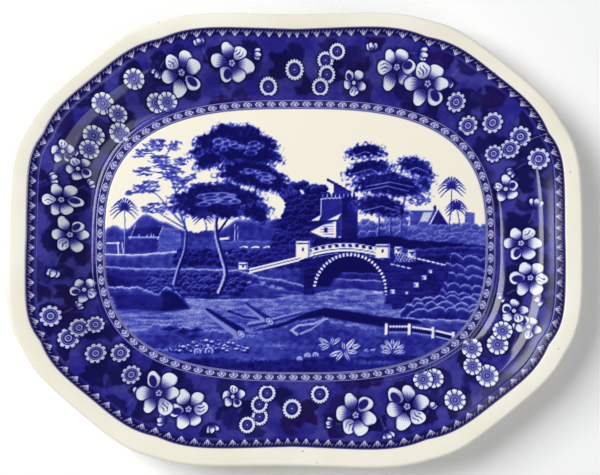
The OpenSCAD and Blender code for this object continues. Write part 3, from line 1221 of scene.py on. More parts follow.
    def tower(self) -> None:
        """Draws a battlemented tower with a lean-to roof and a lit gable at its foot."""
        self.area([(28, 33), (40, 31), (40, 38), (28, 44)], 0.72, 0.3)
        self.stroke([(23.5, 46.5), (32, 42), (40.5, 37)], (1.8, 1.6), 0.85)
        self.block((18, 4, 34, 34), 0.7, 0.15)
        self.area([(34, 2), (46, 2), (46, 34), (34, 35)], 0.86, 0.2)
        for number in range(9):
            x = 18.5 + number * 3.1
            self.stroke([(x, 34), (x, 36)], (1.5, 1.5), 0.82)
            self.stroke([(x + 1.55, 33.5), (x + 1.55, 35.5)], (0.6, 0.6), 0.1)
        self.stroke([(18.6, 21), (18.6, 32), (22, 32.5), (34, 33)], (0.8, 0.8), 0.12)
        self.area([(9.5, 15), (19, 20.5), (17, 15.5)], 0.06, 0.0)
        self.area([(23, 16), (34, 21.5), (30, 15)], 0.06, 0.0)
        self.area([(11, 15.5), (31, 16.5), (31, 1), (12, 2)], 0.85, 0.2)
        self.area([(10.5, 7.5), (20, 12.5), (30, 15.5), (30, 1.2), (20, 3.5)], 0.03, 0.0)
        for number in range(6):
            y = 3.4 + number * 2
            self.stroke([(17 + abs(number - 2.5) * 2, y), (28, y + 0.3)], (0.55, 0.55), 0.6)
        self.block((21, 7, 23.5, 10.5), 0.85)

    def cottage(self, left: float, ridge_top: float, width: float, floor: float) -> None:
        """Draws a cottage with a pale edged gable.

        Args:
            left: Its left end.
            ridge_top: The height of its ridge.
            width: Its width.
            floor: The height of its foot.
        """
        right, eaves, top = left + width, ridge_top - 11, ridge_top
        self.area([(left - 14, top), (right - 8, top), (right - 14, eaves), (left - 14, eaves)], 0.62, 0.5)
        self.area([(left - 4, top - 1), (left + 3, top - 1), (left - 2, eaves), (left - 8, eaves)], 0.2, 0.3)
        self.area([(left, eaves - 2), (left + 7, top + 1), (right + 2, eaves - 2)], 0.8, 0.2)
        self.block((left, floor, right - 2, eaves), 0.78, 0.2)
        self.stroke([(left - 1, eaves - 2), (left + 7, top + 1.5), (right + 2.5, eaves - 2)], (0.8, 0.8), 0.1)
        self.block((right - 2, floor, right + 1, eaves), 0.05)
        self.block((left - 7, floor + 5, left - 1, floor + 7.5), 0.12)
        self.area([(left + 3.5, top), (left + 5.5, top), (left + 5.5, top + 4), (left + 3.5, top + 3.5)],
                  0.8, 0.0)

    def far_bank(self) -> None:
        """Draws the hills, the huts and the meadows behind the river."""
        self.ground([(-150, 8), (-136, 12), (-128, 9), (-112, 13)], 0.62, 0.4, crest=0.25)
        self.ground([(-130, 8), (-113, 20.5), (-100, 15), (-84, 9)], 0.7, 0.15, 0.2, 0.3)
        self.area([(-104, 12), (-86, 8.5), (-84, -9), (-104, -9)], 0.5, 0.8)
        self.ground([(-86, 8), (-76, 7), (-60, 9), (-50, 8)], 0.66, 0.4, 1.2)
        self.ground([(-60, 8), (-42, 17), (-24, 15), (-15, 17.5), (2, 11), (30, 9)], 0.75, 0.1, 0.3, 0.35)
        self.area([(-123, 10), (-100, 11), (-103, 2.5), (-125, 2.5)], 0.86, 0.1)
        self.stroke([(-126, 3), (-103, 3)], (0.9, 0.9), 0.05)
        self.stroke([(-121, 12), (-125, 1.5)], (0.6, 0.6), 0.12)
        self.stroke([(-100, 11.5), (-104, 1.5)], (0.6, 0.6), 0.12)
        for x, height in ((-118, 5.2), (-112, 4.8), (-109, 6), (-107, 5)):
            self.stroke([(x, 3.4), (x, height)], (1.2, 0.8), 0.2)
        self.stroke([(-142, -1.5), (-133, -1.3)], (1.2, 1.2), 0.05)
        self.stroke([(-134, -1), (-133.5, -9)], (1.2, 1.2), 0.08)
        self.stroke([(-131, -1), (-129.5, -9)], (0.9, 0.9), 0.12)
        self.area([(-58, 2.5), (-50, 3.5), (-50, 1.8), (-58, 0.8)], 0.04, 0.0)
        self.stroke([(-58, -1.5), (-53, -1)], (1.6, 1.2), 0.05)
        self.stroke([(-46, 13), (-46, 0)], (0.7, 0.7), 0.15)
        self.stroke([(-44, 12), (-43.5, 0)], (0.5, 0.5), 0.2)
        self.ground([(-60, 0), (-38, 1), (-15, 0.5), (4, -2)], 0.66, 0.2, 0.6, 0.15)
        self.ground([(-150, -9), (-120, -9.5), (-100, -8), (-84, -6.5), (-60, -8), (4, -6)], 0.68, 0.25,
                    0.3, 0.5)
        for x, width in ((-39, 5), (-30.5, 5), (-21.5, 5)):
            self.stroke([(x - width / 2, -4.6), (x, -3.8), (x + width / 2, -4.2)], (1.1, 1.3), 0.05)

    def draw(self) -> None:
        """Draws the whole scene."""
        self.far_bank()
        self.ground([(44, 16), (56, 13), (72, 17), (90, 12), (110, 14), (150, 10)], 0.52, 0.5, 1.2, 0.2)
        self.bushes((46, 2, 84, 13), 4.6, 0.6, 0.3)
        self.cottage(99, 23.5, 14, 6)
        self.area([(125, 6), (133, 6), (133, 22), (126, 22.5)], 0.5, 0.4)
        self.palm((116, 41), (113.5, 9), 10.5)
        self.palm((119.5, 25.5), (122, 8), 8.5)
        self.bushes((84, -6, 146, 10), 4.4, 0.58, 0.36)
        self.bushes((-8, 16, 22, 41), 5.2, 0.96, 0.55)
        self.bushes((-16, -12, 20, 14), 4.0, 0.95, 0.6)
        self.bushes((-34, -19, 2, -7), 3.2, 0.9, 0.6)
        self.tower()
        self.tiered_tree()
        self.ground([(14, 3), (44, 3), (70, 4.5), (90, 1), (150, -3)], 0.93, 0.2, 0.5)
        self.ground([(60, -4), (90, -5), (120, -3), (150, -4)], 0.82, 0.4, 0.8, 0.25)
        self.ground([(66, -9), (90, -9), (120, -8), (150, -9)], 0.86, 0.4, 0.6, 0.2)
        self.bushes((-90, -18, -36, -8), 3.2, 0.97, 0.55)
        self.river()
        self.bridge()
        self.wall()
        self.pier(0, 10.5, -12, 0.5)
        self.pier(59.5, 70, -12, -1.5)
        self.pier(-43, -36, -21, -15.5)
        self.near_bank()
        self.feathery_tree()
        self.parasol_tree()
        self.palm((-129.5, 24.5), (-129, -9), 11)
        self.palm((-70, 18.5), (-67, 8), 8)

    def river(self) -> None:
        """Draws the water and its banks."""
        self.ground([(-150, -18), (-120, -20), (-80, -20), (-45, -21), (-20, -27), (14, -33), (30, -36)],
                    0.8, 0.35, 0.5, 0.5)
        self.ground([(-150, -24), (-120, -27), (-80, -31), (-40, -33), (-15, -36), (30, -40)], 0.88, 0.3,
                    0.8, 0.12)
        self.ground([(12, -22), (30, -22), (50, -23), (74, -24)], 0.78, 0.3, 0.6, 0.2)
        self.ground([(12, -30), (30, -27), (52, -28), (74, -29)], 0.7, 0.3, 0.5, 0.3)
        self.ground([(-44, -36), (-28, -31), (-14, -34), (0, -37), (16, -41)], 0.78, 0.2, 0.6, 0.25)
        for x, y in ((-34, -30.5), (-25, -31), (-18, -33), (-12, -34.5)):
            self.leaves((x, y), (1.8, 1.2), 6, 0.25)
        self.bushes((-112, -38, -80, -26), 3.0, 0.95, 0.5)
        self.bushes((-84, -40, -38, -26), 3.4, 0.92, 0.42)
        self.ground([(-150, -33), (-130, -34), (-118, -34), (-104, -39), (-97, -34), (-90, -37),
                     (-84, -43)], 0.76, 0.5, 0.9, 0.5)
        self.ground([(-150, -41.5), (-84, -42.5), (-60, -43), (-20, -42.5), (6, -39), (40, -35), (72, -37),
                     (150, -44)], 0.5, 1.0, 0.3, 0.15)
        for _ in range(150):
            x, y = self.chance.uniform(-138, 70), self.chance.uniform(-68, -38)
            length, deep = self.chance.uniform(5, 16), self.chance.uniform(0, 1)
            index, aside, up = self.film.near(x, y, length)
            streak = np.exp(-((aside / length * 1.6) ** 2) - (up / 0.75) ** 2) * (self.film.y[index] < -36)
            self.ink(index, streak * 0.6, 0.28 if deep < 0.6 else 0.72)
        index, aside, up = self.film.near(-78, -54, 34)
        self.ink(index, np.exp(-((aside / 19) ** 2) - (up / 8) ** 2) * 0.45, 0.32)
        self.area([(-138, -39), (-104, -40), (-84, -42), (-80, -50), (-100, -53), (-134, -51)], 0.84, 0.5,
                  3.0)
        self.area([(-101, -37), (-92, -37), (-80, -50), (-98, -52)], 0.98, 0.2, 2.5)

    def near_bank(self) -> None:
        """Draws the near bank with its logs, shrubs, fence, stones and flowers."""
        self.ground([(-150, -66), (-118, -66), (-102, -61), (-92, -63), (-80, -64), (-58, -66), (-30, -67),
                     (-5, -60)], 0.6, 0.45, 1.4, 0.25)
        self.ground([(-150, -72), (-90, -70), (-60, -68), (-20, -68), (10, -66)], 0.66, 0.2, 1.0)
        for x, y, wide in ((-94, -65, 7), (-84, -67, 6), (-76, -71, 6), (-74, -66, 5)):
            self.area([(x - wide, y - 1), (x, y + 1.8), (x + wide, y), (x, y - 2)], 0.86, 0.4, 1.6)
        self.ground([(44, -55), (60, -54), (78, -51), (100, -54), (150, -58)], 0.52, 0.75, 0.7, 0.15)
        self.ground([(-150, -86), (-60, -76), (-36, -70), (-14, -63), (4, -58), (20, -57), (40, -61),
                     (64, -65), (100, -68), (150, -66)], 0.6, 0.35, 1.6, 0.2)
        self.shrubs()
        self.area([(-32, -67), (-8, -60), (8, -53), (22, -49), (38, -51.5), (62, -55.5), (90, -58),
                   (94, -60.5), (64, -63), (40, -59), (20, -55.5), (2, -58.5), (-12, -64)], 0.96, 0.2, 1.3)
        self.stroke([(-8, -59.5), (8, -52.6), (22, -48.8), (38, -51.2)], (0.7, 0.7), 0.5)
        self.stroke([(-37, -47), (-29, -53), (-22, -58)], (2.6, 6.5), 0.88, 0.36)
        self.stroke([(-34, -62), (-22, -60), (-8, -56), (4, -53)], (4.0, 2.2), 0.75, 0.32)
        self.stroke([(-50, -53), (-38, -57), (-28, -58)], (3.2, 1.8), 0.9, 0.45)
        self.stroke([(-66, -52), (-56, -59), (-42, -68)], (4.0, 9.0), 0.92, 0.36)
        self.stump((-40.5, -69))
        self.stump((-19.5, -59.5))
        self.stroke([(24, -57), (14, -61), (2, -62.5), (-3, -66), (1, -69)], (1.2, 2.0), 0.25)
        self.stroke([(4, -68.5), (12, -65), (22, -58)], (1.6, 0.8), 0.3)
        self.ground([(20, -62), (60, -68), (90, -68.5), (120, -72)], 0.7, 0.3, 0.5, 0.1)
        self.ground([(-150, -80), (-60, -84), (0, -80), (60, -82), (150, -84)], 0.62, 0.35, 1.2)
        self.ground([(-150, -94), (-60, -87), (-20, -88), (40, -86), (80, -84), (150, -88)], 0.84, 0.3, 1.0)
        self.fence()
        self.stones()
        self.plants()

    def shrubs(self) -> None:
        """Draws the tiers of cloudy shrubs at the right."""
        for left, height in ((112, -11), (108, -18), (110, -25), (107, -32), (104, -38)):
            self.ground([(left, height - 14), (left + 4, height), (left + 18, height - 2),
                         (150, height - 5)], 0.82, 0.25, 0.6, 0.46, 3.4)
        for left, height in ((84, -43.5), (78, -48), (82, -52)):
            self.ground([(left, height - 6), (left + 6, height), (left + 30, height + 1.5),
                         (150, height - 2)], 0.8, 0.25, 0.6, 0.48, 3.0)
        self.ground([(60, -58), (74, -55.5), (100, -57), (150, -58)], 0.62, 0.6, 0.7, 0.3)

    def stump(self, place: Pair) -> None:
        """Draws the pale sawn end of a log."""
        index, along, across = self.film.turned(*place, 0.9, 6)
        out = np.hypot(along / 2.3, across / 3.4)
        self.ink(index, filled((1.15 - out) * 2.6, 0.6), 0.85)
        self.ink(index, filled((0.95 - out) * 2.6, 0.6), 0.16 + 0.4 * ridge(out - 0.5, 0.16), 0.0)

    def fence(self) -> None:
        """Draws a low fence of posts and rails."""
        posts = ((67.5, -63.5), (84.5, -63.5), (102, -66), (117, -69.5))
        for (x, y), (next_x, next_y) in zip(posts, posts[1:]):
            self.area([(x, y - 3), (next_x, next_y - 3), (next_x, next_y + 1), (x, y + 1)], 0.9, 0.2)
            self.stroke([(x, y + 0.6), (next_x, next_y + 0.6)], (1.6, 1.6), 0.1)
            self.stroke([(x, y - 3.6), (next_x, next_y - 3.6)], (1.2, 1.2), 0.3)
        for x, y in posts:
            self.area([(x - 1.3, y - 5.5), (x + 1.3, y - 5.5), (x + 1.5, y + 3), (x - 1.1, y + 3)], 0.05, 0.0)
            self.stroke([(x + 1.3, y - 5.5), (x + 1.5, y + 3)], (0.9, 0.9), 0.8)

    def stones(self) -> None:
        """Draws a heap of pale pebbles, and the round seed heads in it and beside it."""
        for _ in range(120):
            x = self.chance.uniform(-94, -36)
            y = -82.5 + self.chance.uniform(0, 1) * 9 * math.exp(-(((x + 62) / 26) ** 2))
            size = self.chance.uniform(0.6, 1.6)
            index, aside, up = self.film.near(x, y, 2.5)
            out = np.hypot(aside / 1.5, up)
            self.ink(index, filled(size + 0.3 - out, 0.6), 0.85)
            self.ink(index, filled(size - out - 0.1, 0.6) * filled(up + 0.1, 0.8), 0.1)
        for x, y, size in ((-73, -82.5, 3), (-64.5, -82, 3.6), (3, -87.5, 2.2), (9, -85, 2.4),
                           (15, -84.5, 2.4)):
            index, aside, up = self.film.near(x, y, size * 1.3)
            out = np.hypot(aside, up)
            self.ink(index, filled(size - out, 0.6), 0.7)
            self.ink(index, ridge(out - size * 0.75, 0.6) * filled(up + size * 0.4, 1.0), 0.12)
            self.ink(index, filled(0.7 - out, 0.6), 0.15)

    def plants(self) -> None:
        """Draws the broad leaved plants of the foreground, and the light on the grass round them."""
        sprigs = (((26, -77), 1.2, ((150, 9), (35, 8), (180, 8), (70, 6), (205, 7))),
                  ((36, -81), 1.25, ((20, 11), (48, 10), (-8, 9), (200, 10), (232, 8), (-60, 7), (95, 6))),
                  ((72, -82), 1.25, ((90, 8.5), (60, 9), (120, 9), (30, 9), (150, 9), (5, 8), (175, 8))),
                  ((55, -81), 0.9, ((10, 6), (170, 6))))
        for foot, scale, blades in sprigs:
            for degrees, length in blades:
                index, along, across = self.film.turned(*foot, math.radians(degrees), length * 1.3)
                share = along / (length * scale)
                half = 0.19 * length * np.clip(np.sin(np.clip(share, 0, 1) * math.pi), 0, 1) ** 0.7
                depth = np.where((share > 0) & (share < 1), half - np.abs(across), -1)
                self.ink(index, filled(depth + 0.5, 0.6), 0.88, 0.0)
                self.ink(index, filled(depth, 0.6), 0.12 + 0.55 * ridge(across, 0.4), 0.0)
        for x, y, wide, high in ((-14, -77.5, 13, 1.5), (-30, -88, 16, 1.3), (60, -89.5, 18, 1.3)):
            index, aside, up = self.film.near(x, y, wide * 2)
            lit = np.exp(-((aside / wide) ** 2) - ((up + self.film.rough(index, 5)) / high) ** 2)
            self.ink(index, lit * 0.6, 0.3)

    def tiered_tree(self) -> None:
        """Draws the tall tree right of the tower."""
        for path in ([(61, 4), (62, 20), (60, 40), (54, 60)], [(70, 6), (71, 22), (73, 40)],
                     [(78, 8), (80, 28), (85, 44), (88, 52)]):
            self.stroke(curved(path), (1.6, 1.1), 0.8, 0.3)
        for centre, size, lean in (((52, 68.5), (12.5, 4.4), 0.05), ((54.5, 55.5), (16, 5.6), 0.12),
                                   ((90.5, 56), (13, 6), -0.45), ((70, 43.5), (25, 8), -0.1),
                                   ((64, 27), (19, 7), -0.2), ((96, 44), (5, 4), -0.9)):
            self.crown(centre, size, lean, 0.93)
        for centre, wide in (((52, 67), 9), ((54.5, 53.5), 12), ((70, 44), 18), ((68, 41), 16),
                             ((64, 26), 13), ((90, 55), 9)):
            x, y = centre
            self.stroke([(x - wide, y - 2.5), (x, y + 0.8), (x + wide, y - 3)], (0.8, 0.6), 0.35)
        self.leaves((92, 31), (8, 4), 46, 0.6)
        self.leaves((76, 22), (12, 5), 40, 0.45)

    def feathery_tree(self) -> None:
        """Draws the light tree at the left."""
        self.stroke(curved([(-82.5, 8), (-88, 24), (-91, 38), (-96, 50), (-102, 60)]), (1.8, 0.7), 0.62, 0.45)
        self.stroke(curved([(-91, -32), (-88, -20), (-83.5, -6), (-82.5, 8)]), (3.4, 1.8), 0.97, 0.28)
        for path in ([(-86, 14), (-97, 26), (-106, 36), (-118, 40)], [(-91, 36), (-84, 43), (-76, 49)],
                     [(-96, 50), (-104, 52), (-114, 53)], [(-95, 48), (-90, 58), (-86, 61)],
                     [(-101, 58), (-108, 66), (-114, 66)], [(-99, 56), (-98, 66), (-92, 72)],
                     [(-84, 10), (-96, 17), (-104, 22)], [(-82.5, 8), (-84, 16), (-83, 18)]):
            self.stroke(curved(path), (1.2, 0.5), 0.62)
        sprays = (((-107, 72), (9, 5), 60), ((-92, 72), (6, 3.4), 26), ((-118, 66), (5, 3.5), 22),
                  ((-102, 60), (9, 5), 60), ((-88, 60), (6, 3), 22), ((-116, 52.5), (7, 3.4), 30),
                  ((-95, 51), (11, 5.5), 80), ((-80, 48), (5, 3), 18), ((-88, 43), (7, 3.4), 30),
                  ((-109, 41), (8, 4.5), 50), ((-119, 39.5), (6, 3.5), 28), ((-127, 36.5), (3, 1.6), 8),
                  ((-104, 25), (10, 4), 44), ((-113, 24), (4, 2), 10))
        for centre, size, count in sprays:
            for tier in (-0.6, 0.1, 0.75):
                place = (centre[0] + self.chance.uniform(-2, 2), centre[1] + tier * size[1])
                self.leaves(place, (size[0] * (1 - 0.3 * abs(tier)), size[1] * 0.3), count * 4 // 9 + 2, 0.56)

    def parasol_tree(self) -> None:
        """Draws the large tree with its flat crowns."""
        trunk = [(-57, -38), (-52.5, -24), (-56.5, -8), (-60, 6), (-59.5, 20), (-54, 44), (-46, 56),
                 (-44, 64)]
        self.stroke(curved(trunk), (4.0, 1.5), 0.97, 0.22)
        for path in ([(-59, 6), (-52, 16), (-48, 24)], [(-54, 42), (-46, 48), (-38, 48), (-30, 43)],
                     [(-50, 50), (-52, 58), (-56, 63)], [(-47, 55), (-42, 62), (-36, 64)]):
            self.stroke(curved(path), (1.9, 0.9), 0.88)
        self.crown((-45, 73), (31, 14.5), -0.08, cells=5)
        self.crown((-66, 62), (10, 6), 0.2)
        self.crown((-30, 50), (26, 9.0), -0.26, cells=4)
        self.crown((-58, 31.5), (34, 12), -0.04, cells=6)
        self.crown((-30, 22), (10, 6), -0.5)


# ---- Finishes ----


INK = linear(34, 30, 128)
DEEP_INK = linear(4, 0, 66)
SOFT_INK = linear(62, 60, 148)
PURPLE_INK = linear(24, 0, 66)
PALE_INK = linear(132, 136, 208)
BRIGHT = linear(226, 232, 236)
CREAM = linear(240, 234, 216)


@dataclass(frozen=True)
class GlazedFinish:
    """Fired ware under a clear gloss glaze."""

    name: str
    roughness: float = 0.34
    coat_roughness: float = 0.11
    refraction: float = 1.45
    bump: float = 0.1
    bump_height: float = 0.4 * MM

    def make(self, colour: Callable[[Nodes], Value]) -> bpy.types.Material:
        """Makes the material.

        Args:
            colour: Draws the ware's colour in a tree.

        Returns:
            The material.
        """
        nodes, material = new_material(self.name)
        where = nodes.place()
        ripple = nodes.noise(where, 55, 2.0) * 0.8 + nodes.noise(where, 900, 1.0) * 0.04
        rough = nodes.noise(where, 160, 3.0).ramp(0.3, 0.8) * 0.1 + (self.roughness - 0.05)
        relief = nodes.relief(self.bump, self.bump_height, ripple)
        nodes.surface({"Base Color": colour(nodes), "Roughness": rough, "IOR": self.refraction,
                       "Specular IOR Level": 0.0, "Coat Weight": 1.0, "Coat Roughness": self.coat_roughness,
                       "Coat IOR": self.refraction, "Normal": relief})
        return material


@dataclass(frozen=True)
class BareClay:
    """Fired clay without glaze, ground where it stands on the table."""

    name: str = "bare_clay"
    roughness: float = 0.72
    bump: float = 0.4
    bump_height: float = 0.2 * MM

    def make(self) -> bpy.types.Material:
        """Makes the material."""
        nodes, material = new_material(self.name)
        where = nodes.place()
        grit, cloud = nodes.noise(where, 1800, 2.0), nodes.noise(where, 60, 3.0)
        colour = nodes.blend(cloud.ramp(0.3, 0.7), linear(206, 190, 160), linear(226, 214, 188))
        stained = nodes.blend(nodes.cells(where, 500).ramp(0.16, 0.05) * 0.5, colour, linear(120, 96, 70))
        rough, relief = cloud * 0.1 + self.roughness, nodes.relief(self.bump, self.bump_height, grit)
        nodes.surface({"Base Color": stained, "Roughness": rough, "Normal": relief})
        return material


def new_material(name: str) -> tuple[Nodes, bpy.types.Material]:
    """Makes an empty node material and returns its tree and itself."""
    material = bpy.data.materials.new(name)
    material.use_nodes = True
    material.node_tree.nodes.clear()
    return Nodes(material.node_tree), material


def printed_ground(nodes: Nodes) -> Value:
    """Draws the mottled cobalt that the border and its edging are printed on."""
    where = nodes.place()
    wide, fine = nodes.noise(where, 38, 3.0, 0.6), nodes.noise(where, 260, 3.0, 0.6)
    ground = nodes.blend(wide.ramp(0.36, 0.64), INK, SOFT_INK)
    return nodes.blend(fine.ramp(0.35, 0.75) * 0.35, ground, linear(14, 6, 96))


def border_colour(nodes: Nodes) -> Value:
    """Draws the flowered border's colour from its painted fields."""
    where = nodes.place()
    fine = nodes.noise(where, 800, 2.0)
    stain = nodes.noise(where, 24, 2.0).ramp(0.45, 0.65)
    dark = nodes.blend(stain * 0.8, DEEP_INK, PURPLE_INK)
    leafy = nodes.blend((nodes.painted("leaf") + (fine - 0.5) * 0.2).ramp(0.1, 0.95) * 0.93,
                        printed_ground(nodes), dark)
    veined = nodes.blend(nodes.painted("vein") * 0.22, leafy, PALE_INK)
    flower = nodes.painted("flower")
    halo = nodes.blend(flower.ramp(-2.4, -0.2) * 0.8, veined, DEEP_INK)
    shade = (nodes.painted("shade") + (fine - 0.5) * 0.22).most(0.0).least(1.0)
    tint = nodes.blend(shade.ramp(0.0, 0.75), BRIGHT, linear(74, 74, 168))
    white = nodes.blend(shade.ramp(0.6, 1.0), tint, linear(30, 20, 110))
    return nodes.blend(flower.ramp(-0.22, 0.18), halo, white)


def scene_colour(nodes: Nodes) -> Value:
    """Draws the landscape's colour, with the engraver's lines over its tones."""
    where = nodes.place()
    flat = nodes.place((0.16, 1.0, 1.0))
    grain = nodes.painted("grain")
    ripple = (nodes.noise(flat, 420, 3.0, 0.6) - 0.5) * 0.55
    stipple = (nodes.noise(where, 1100, 2.0, 0.6) - 0.5) * 0.5
    tone = nodes.painted("ink")
    printed = tone.ramp(0.02, 0.2)
    flow = (nodes.noise(nodes.place((0.6, 1.0, 1.0)), 46, 3.0, 0.6) - 0.5) * 0.5
    tone = tone + (ripple * grain + stipple * (grain * 0.6 + 0.35) + flow * tone.ramp(0.4, 0.6)) * printed
    light = nodes.blend(tone.ramp(0.04, 0.34), CREAM, linear(138, 146, 208))
    middle = nodes.blend(tone.ramp(0.26, 0.56), light, linear(62, 70, 172))
    full = nodes.blend(tone.ramp(0.5, 0.76), middle, linear(26, 24, 126))
    return nodes.blend(tone.ramp(0.74, 0.95), full, linear(3, 0, 78))


def wave(nodes: Nodes, phase: Value) -> Value:
    """Returns the cosine of a phase that is counted in repeats."""
    return nodes.math("COSINE", phase * FULL_TURN)


def bead_colour(nodes: Nodes) -> Value:
    """Draws lilac rosettes between dark blocks, with a pale line on each side."""
    along, across = nodes.painted("along"), nodes.painted("across")
    phase = nodes.math("FRACT", along) - 0.5
    middle = (across - 0.55) / 0.3
    body = (phase * 2.75) * (phase * 2.75) + middle * middle
    scroll = wave(nodes, phase * 3.0 + middle * 0.28) * wave(nodes, middle * 0.55)
    second = wave(nodes, phase * 3.0 - middle * 0.28) * wave(nodes, middle * 0.6 + 0.2)
    curls = scroll.most(second).ramp(0.35, 0.85)
    rosette = nodes.blend(curls, linear(112, 114, 176), linear(204, 204, 232))
    cloud = nodes.noise(nodes.place(), 300).ramp(0.3, 0.7)
    dark = nodes.blend(cloud, linear(28, 22, 84), linear(46, 42, 112))
    base = nodes.blend(body.ramp(1.12, 0.8), dark, rosette)
    lines = abs(across - 0.93).ramp(0.05, 0.02).most(abs(across - 0.17).ramp(0.055, 0.02))
    lined = nodes.blend(lines * 0.8, base, linear(150, 150, 204))
    return nodes.blend(across.ramp(0.13, 0.06), lined, linear(118, 116, 170))


def edging_colour(nodes: Nodes) -> Value:
    """Draws a row of pale shells that point inwards on a dark ground, under a thin outer line."""
    along, across = nodes.painted("along"), nodes.painted("across")
    phase = abs(nodes.math("FRACT", along) - 0.5) * 2.0
    tip = (across - 0.12) / 0.44
    fan = (tip * 0.62 + 0.05 - phase).ramp(0.0, 0.16) * tip.ramp(1.3, 0.85) * tip.ramp(-0.05, 0.15)
    rays = wave(nodes, nodes.math("FRACT", along) * 7.0).ramp(-0.7, 0.4)
    white = fan * (tip.ramp(0.85, 0.4).most(rays * 0.75))
    curls = wave(nodes, along * 3.0 + across * 2.0).ramp(0.5, 0.95) * 0.6
    curls = curls * abs(across - 0.66).ramp(0.16, 0.04)
    ground = nodes.blend(across.ramp(0.05, 0.4), printed_ground(nodes), linear(14, 4, 74))
    speckled = nodes.blend(curls, ground, linear(140, 138, 200))
    shells = nodes.blend(white, speckled, linear(192, 192, 226))
    return nodes.blend(across.ramp(0.86, 0.94) * 0.75, shells, linear(84, 80, 140))


def clay_colour(nodes: Nodes) -> Value:
    """Draws the cream clay under clear glaze, with a few iron specks and painted shade in patches along its
    rounded edge.
    """
    where = nodes.place()
    cloud = nodes.noise(where, 14, 3.0)
    speck = nodes.cells(where, 110).ramp(0.085, 0.05) * nodes.noise(where, 30).ramp(0.5, 0.6)
    cream = nodes.blend(cloud.ramp(0.3, 0.7), linear(232, 226, 208), linear(240, 236, 224))
    facing = nodes.add("ShaderNodeNewGeometry").outputs["Normal"]
    upward = Value(nodes, nodes.add("ShaderNodeSeparateXYZ", None, {"Vector": facing}).outputs["Z"])
    # Painted shade: the clay is darkened in patches where its surface faces sideways, at the rim's rounded
    # edge.
    edge_shade = abs(upward).ramp(0.42, 0.0) * nodes.noise(where, 26, 3.0).ramp(0.4, 0.62)
    edge_shaded = nodes.blend(edge_shade * 0.7, cream, linear(128, 118, 104))
    return nodes.blend(speck * 0.75, edge_shaded, linear(112, 96, 78))


# ---- Pieces ----


@dataclass
class Clay:
    """The moulded body with its glaze, which holds the films in a shallow bed."""

    ware: Ware
    every: int = 2
    bed_rings: int = 20
    margin_rings: int = 10
    edge_rings: int = 12
    back_rings: int = 26

    def build(self, floor: Array, rim: Array, print_end: Array) -> bpy.types.Object:
        """Builds the body.

        Args:
            floor: The floor's outline.
            rim: The rim's outline.
            print_end: The share of the way out at which the print ends.

        Returns:
            The body, whose points wait to be raised.
        """
        ware, rings, end = self.ware, Rings(floor[::self.every], rim[::self.every]), print_end[::self.every]
        skin, sunk = ware.glaze_thickness, ware.glaze_thickness - ware.film_thickness
        for step in range(self.bed_rings + 1):
            rings.ring(end * step / self.bed_rings, sunk)
        for step in range(self.margin_rings + 1):
            rings.ring(end + (1 - ware.edge_share - end) * step / self.margin_rings, skin)
        grown = ware.edge_share + skin / ware.mean_way
        for step in range(1, self.edge_rings):
            turn = math.pi * step / self.edge_rings
            rings.ring(1 - ware.edge_share + grown * math.sin(turn), 0.0, turn)
        for step in range(self.back_rings + 1):
            rings.ring((1 - ware.edge_share) * (1 - step / self.back_rings), -skin, Side.BACK.value)
        count, last = len(rings.floor), (len(rings.share) - 1) * len(rings.floor)
        caps = [list(range(count)), list(range(last + count - 1, last - 1, -1))]
        return new_mesh("clay_body", rings, rings.faces(True, False), caps)


@dataclass
class RingFilm:
    """A printed film that runs round the platter."""

    ware: Ware
    rows: int
    repeats: int = 0
    bottom_rows: int = 8

    def rings(self, floor: Array, rim: Array, place: Callable[[Rings, float, float], None]) -> Rings:
        """Lays out a film's rings, the top ones first and then the bottom ones back again.

        Args:
            floor: The floor's outline.
            rim: The rim's outline.
            place: Adds a ring at a part of the film's width, with a lift.

        Returns:
            The rings.
        """
        rings = Rings(floor, rim)
        top, bottom = self.ware.glaze_thickness, self.ware.glaze_thickness - self.ware.film_thickness
        for step in range(self.rows + 1):
            place(rings, step / self.rows, top)
        for step in range(self.bottom_rows, -1, -1):
            place(rings, step / self.bottom_rows, bottom)
        return rings

    def across(self, count: int) -> Array:
        """Returns how far across the film each point lies, ring by ring, for a number of columns."""
        parts = [step / self.rows for step in range(self.rows + 1)]
        parts += [step / self.bottom_rows for step in range(self.bottom_rows, -1, -1)]
        return np.repeat(parts, count)

    def mark(self, mesh: bpy.types.Mesh, faces: Array, count: int) -> None:
        """Stores how many repeats lie before each corner of each face, so that a pattern follows the film.

        Args:
            mesh: The film's mesh.
            faces: Its four-cornered faces, which come first in it.
            count: Its number of columns.
        """
        column = faces[:, 2] % count
        before = np.stack([column + 1, column + 1, column, column], -1).ravel()
        along = np.zeros(len(mesh.loops))
        along[:len(before)] = before / self.ware.columns * self.repeats
        store = mesh.attributes.new("along", "FLOAT", "CORNER")
        store.data.foreach_set("value", along.astype(np.float32))


def end_caps(rings: Rings) -> list[list[int]]:
    """Closes both ends of a half film with one face each."""
    count, rows = len(rings.floor), len(rings.share)
    first = [row * count for row in range(rows)]
    last = [row * count + count - 1 for row in range(rows)]
    return [first, last[::-1]]


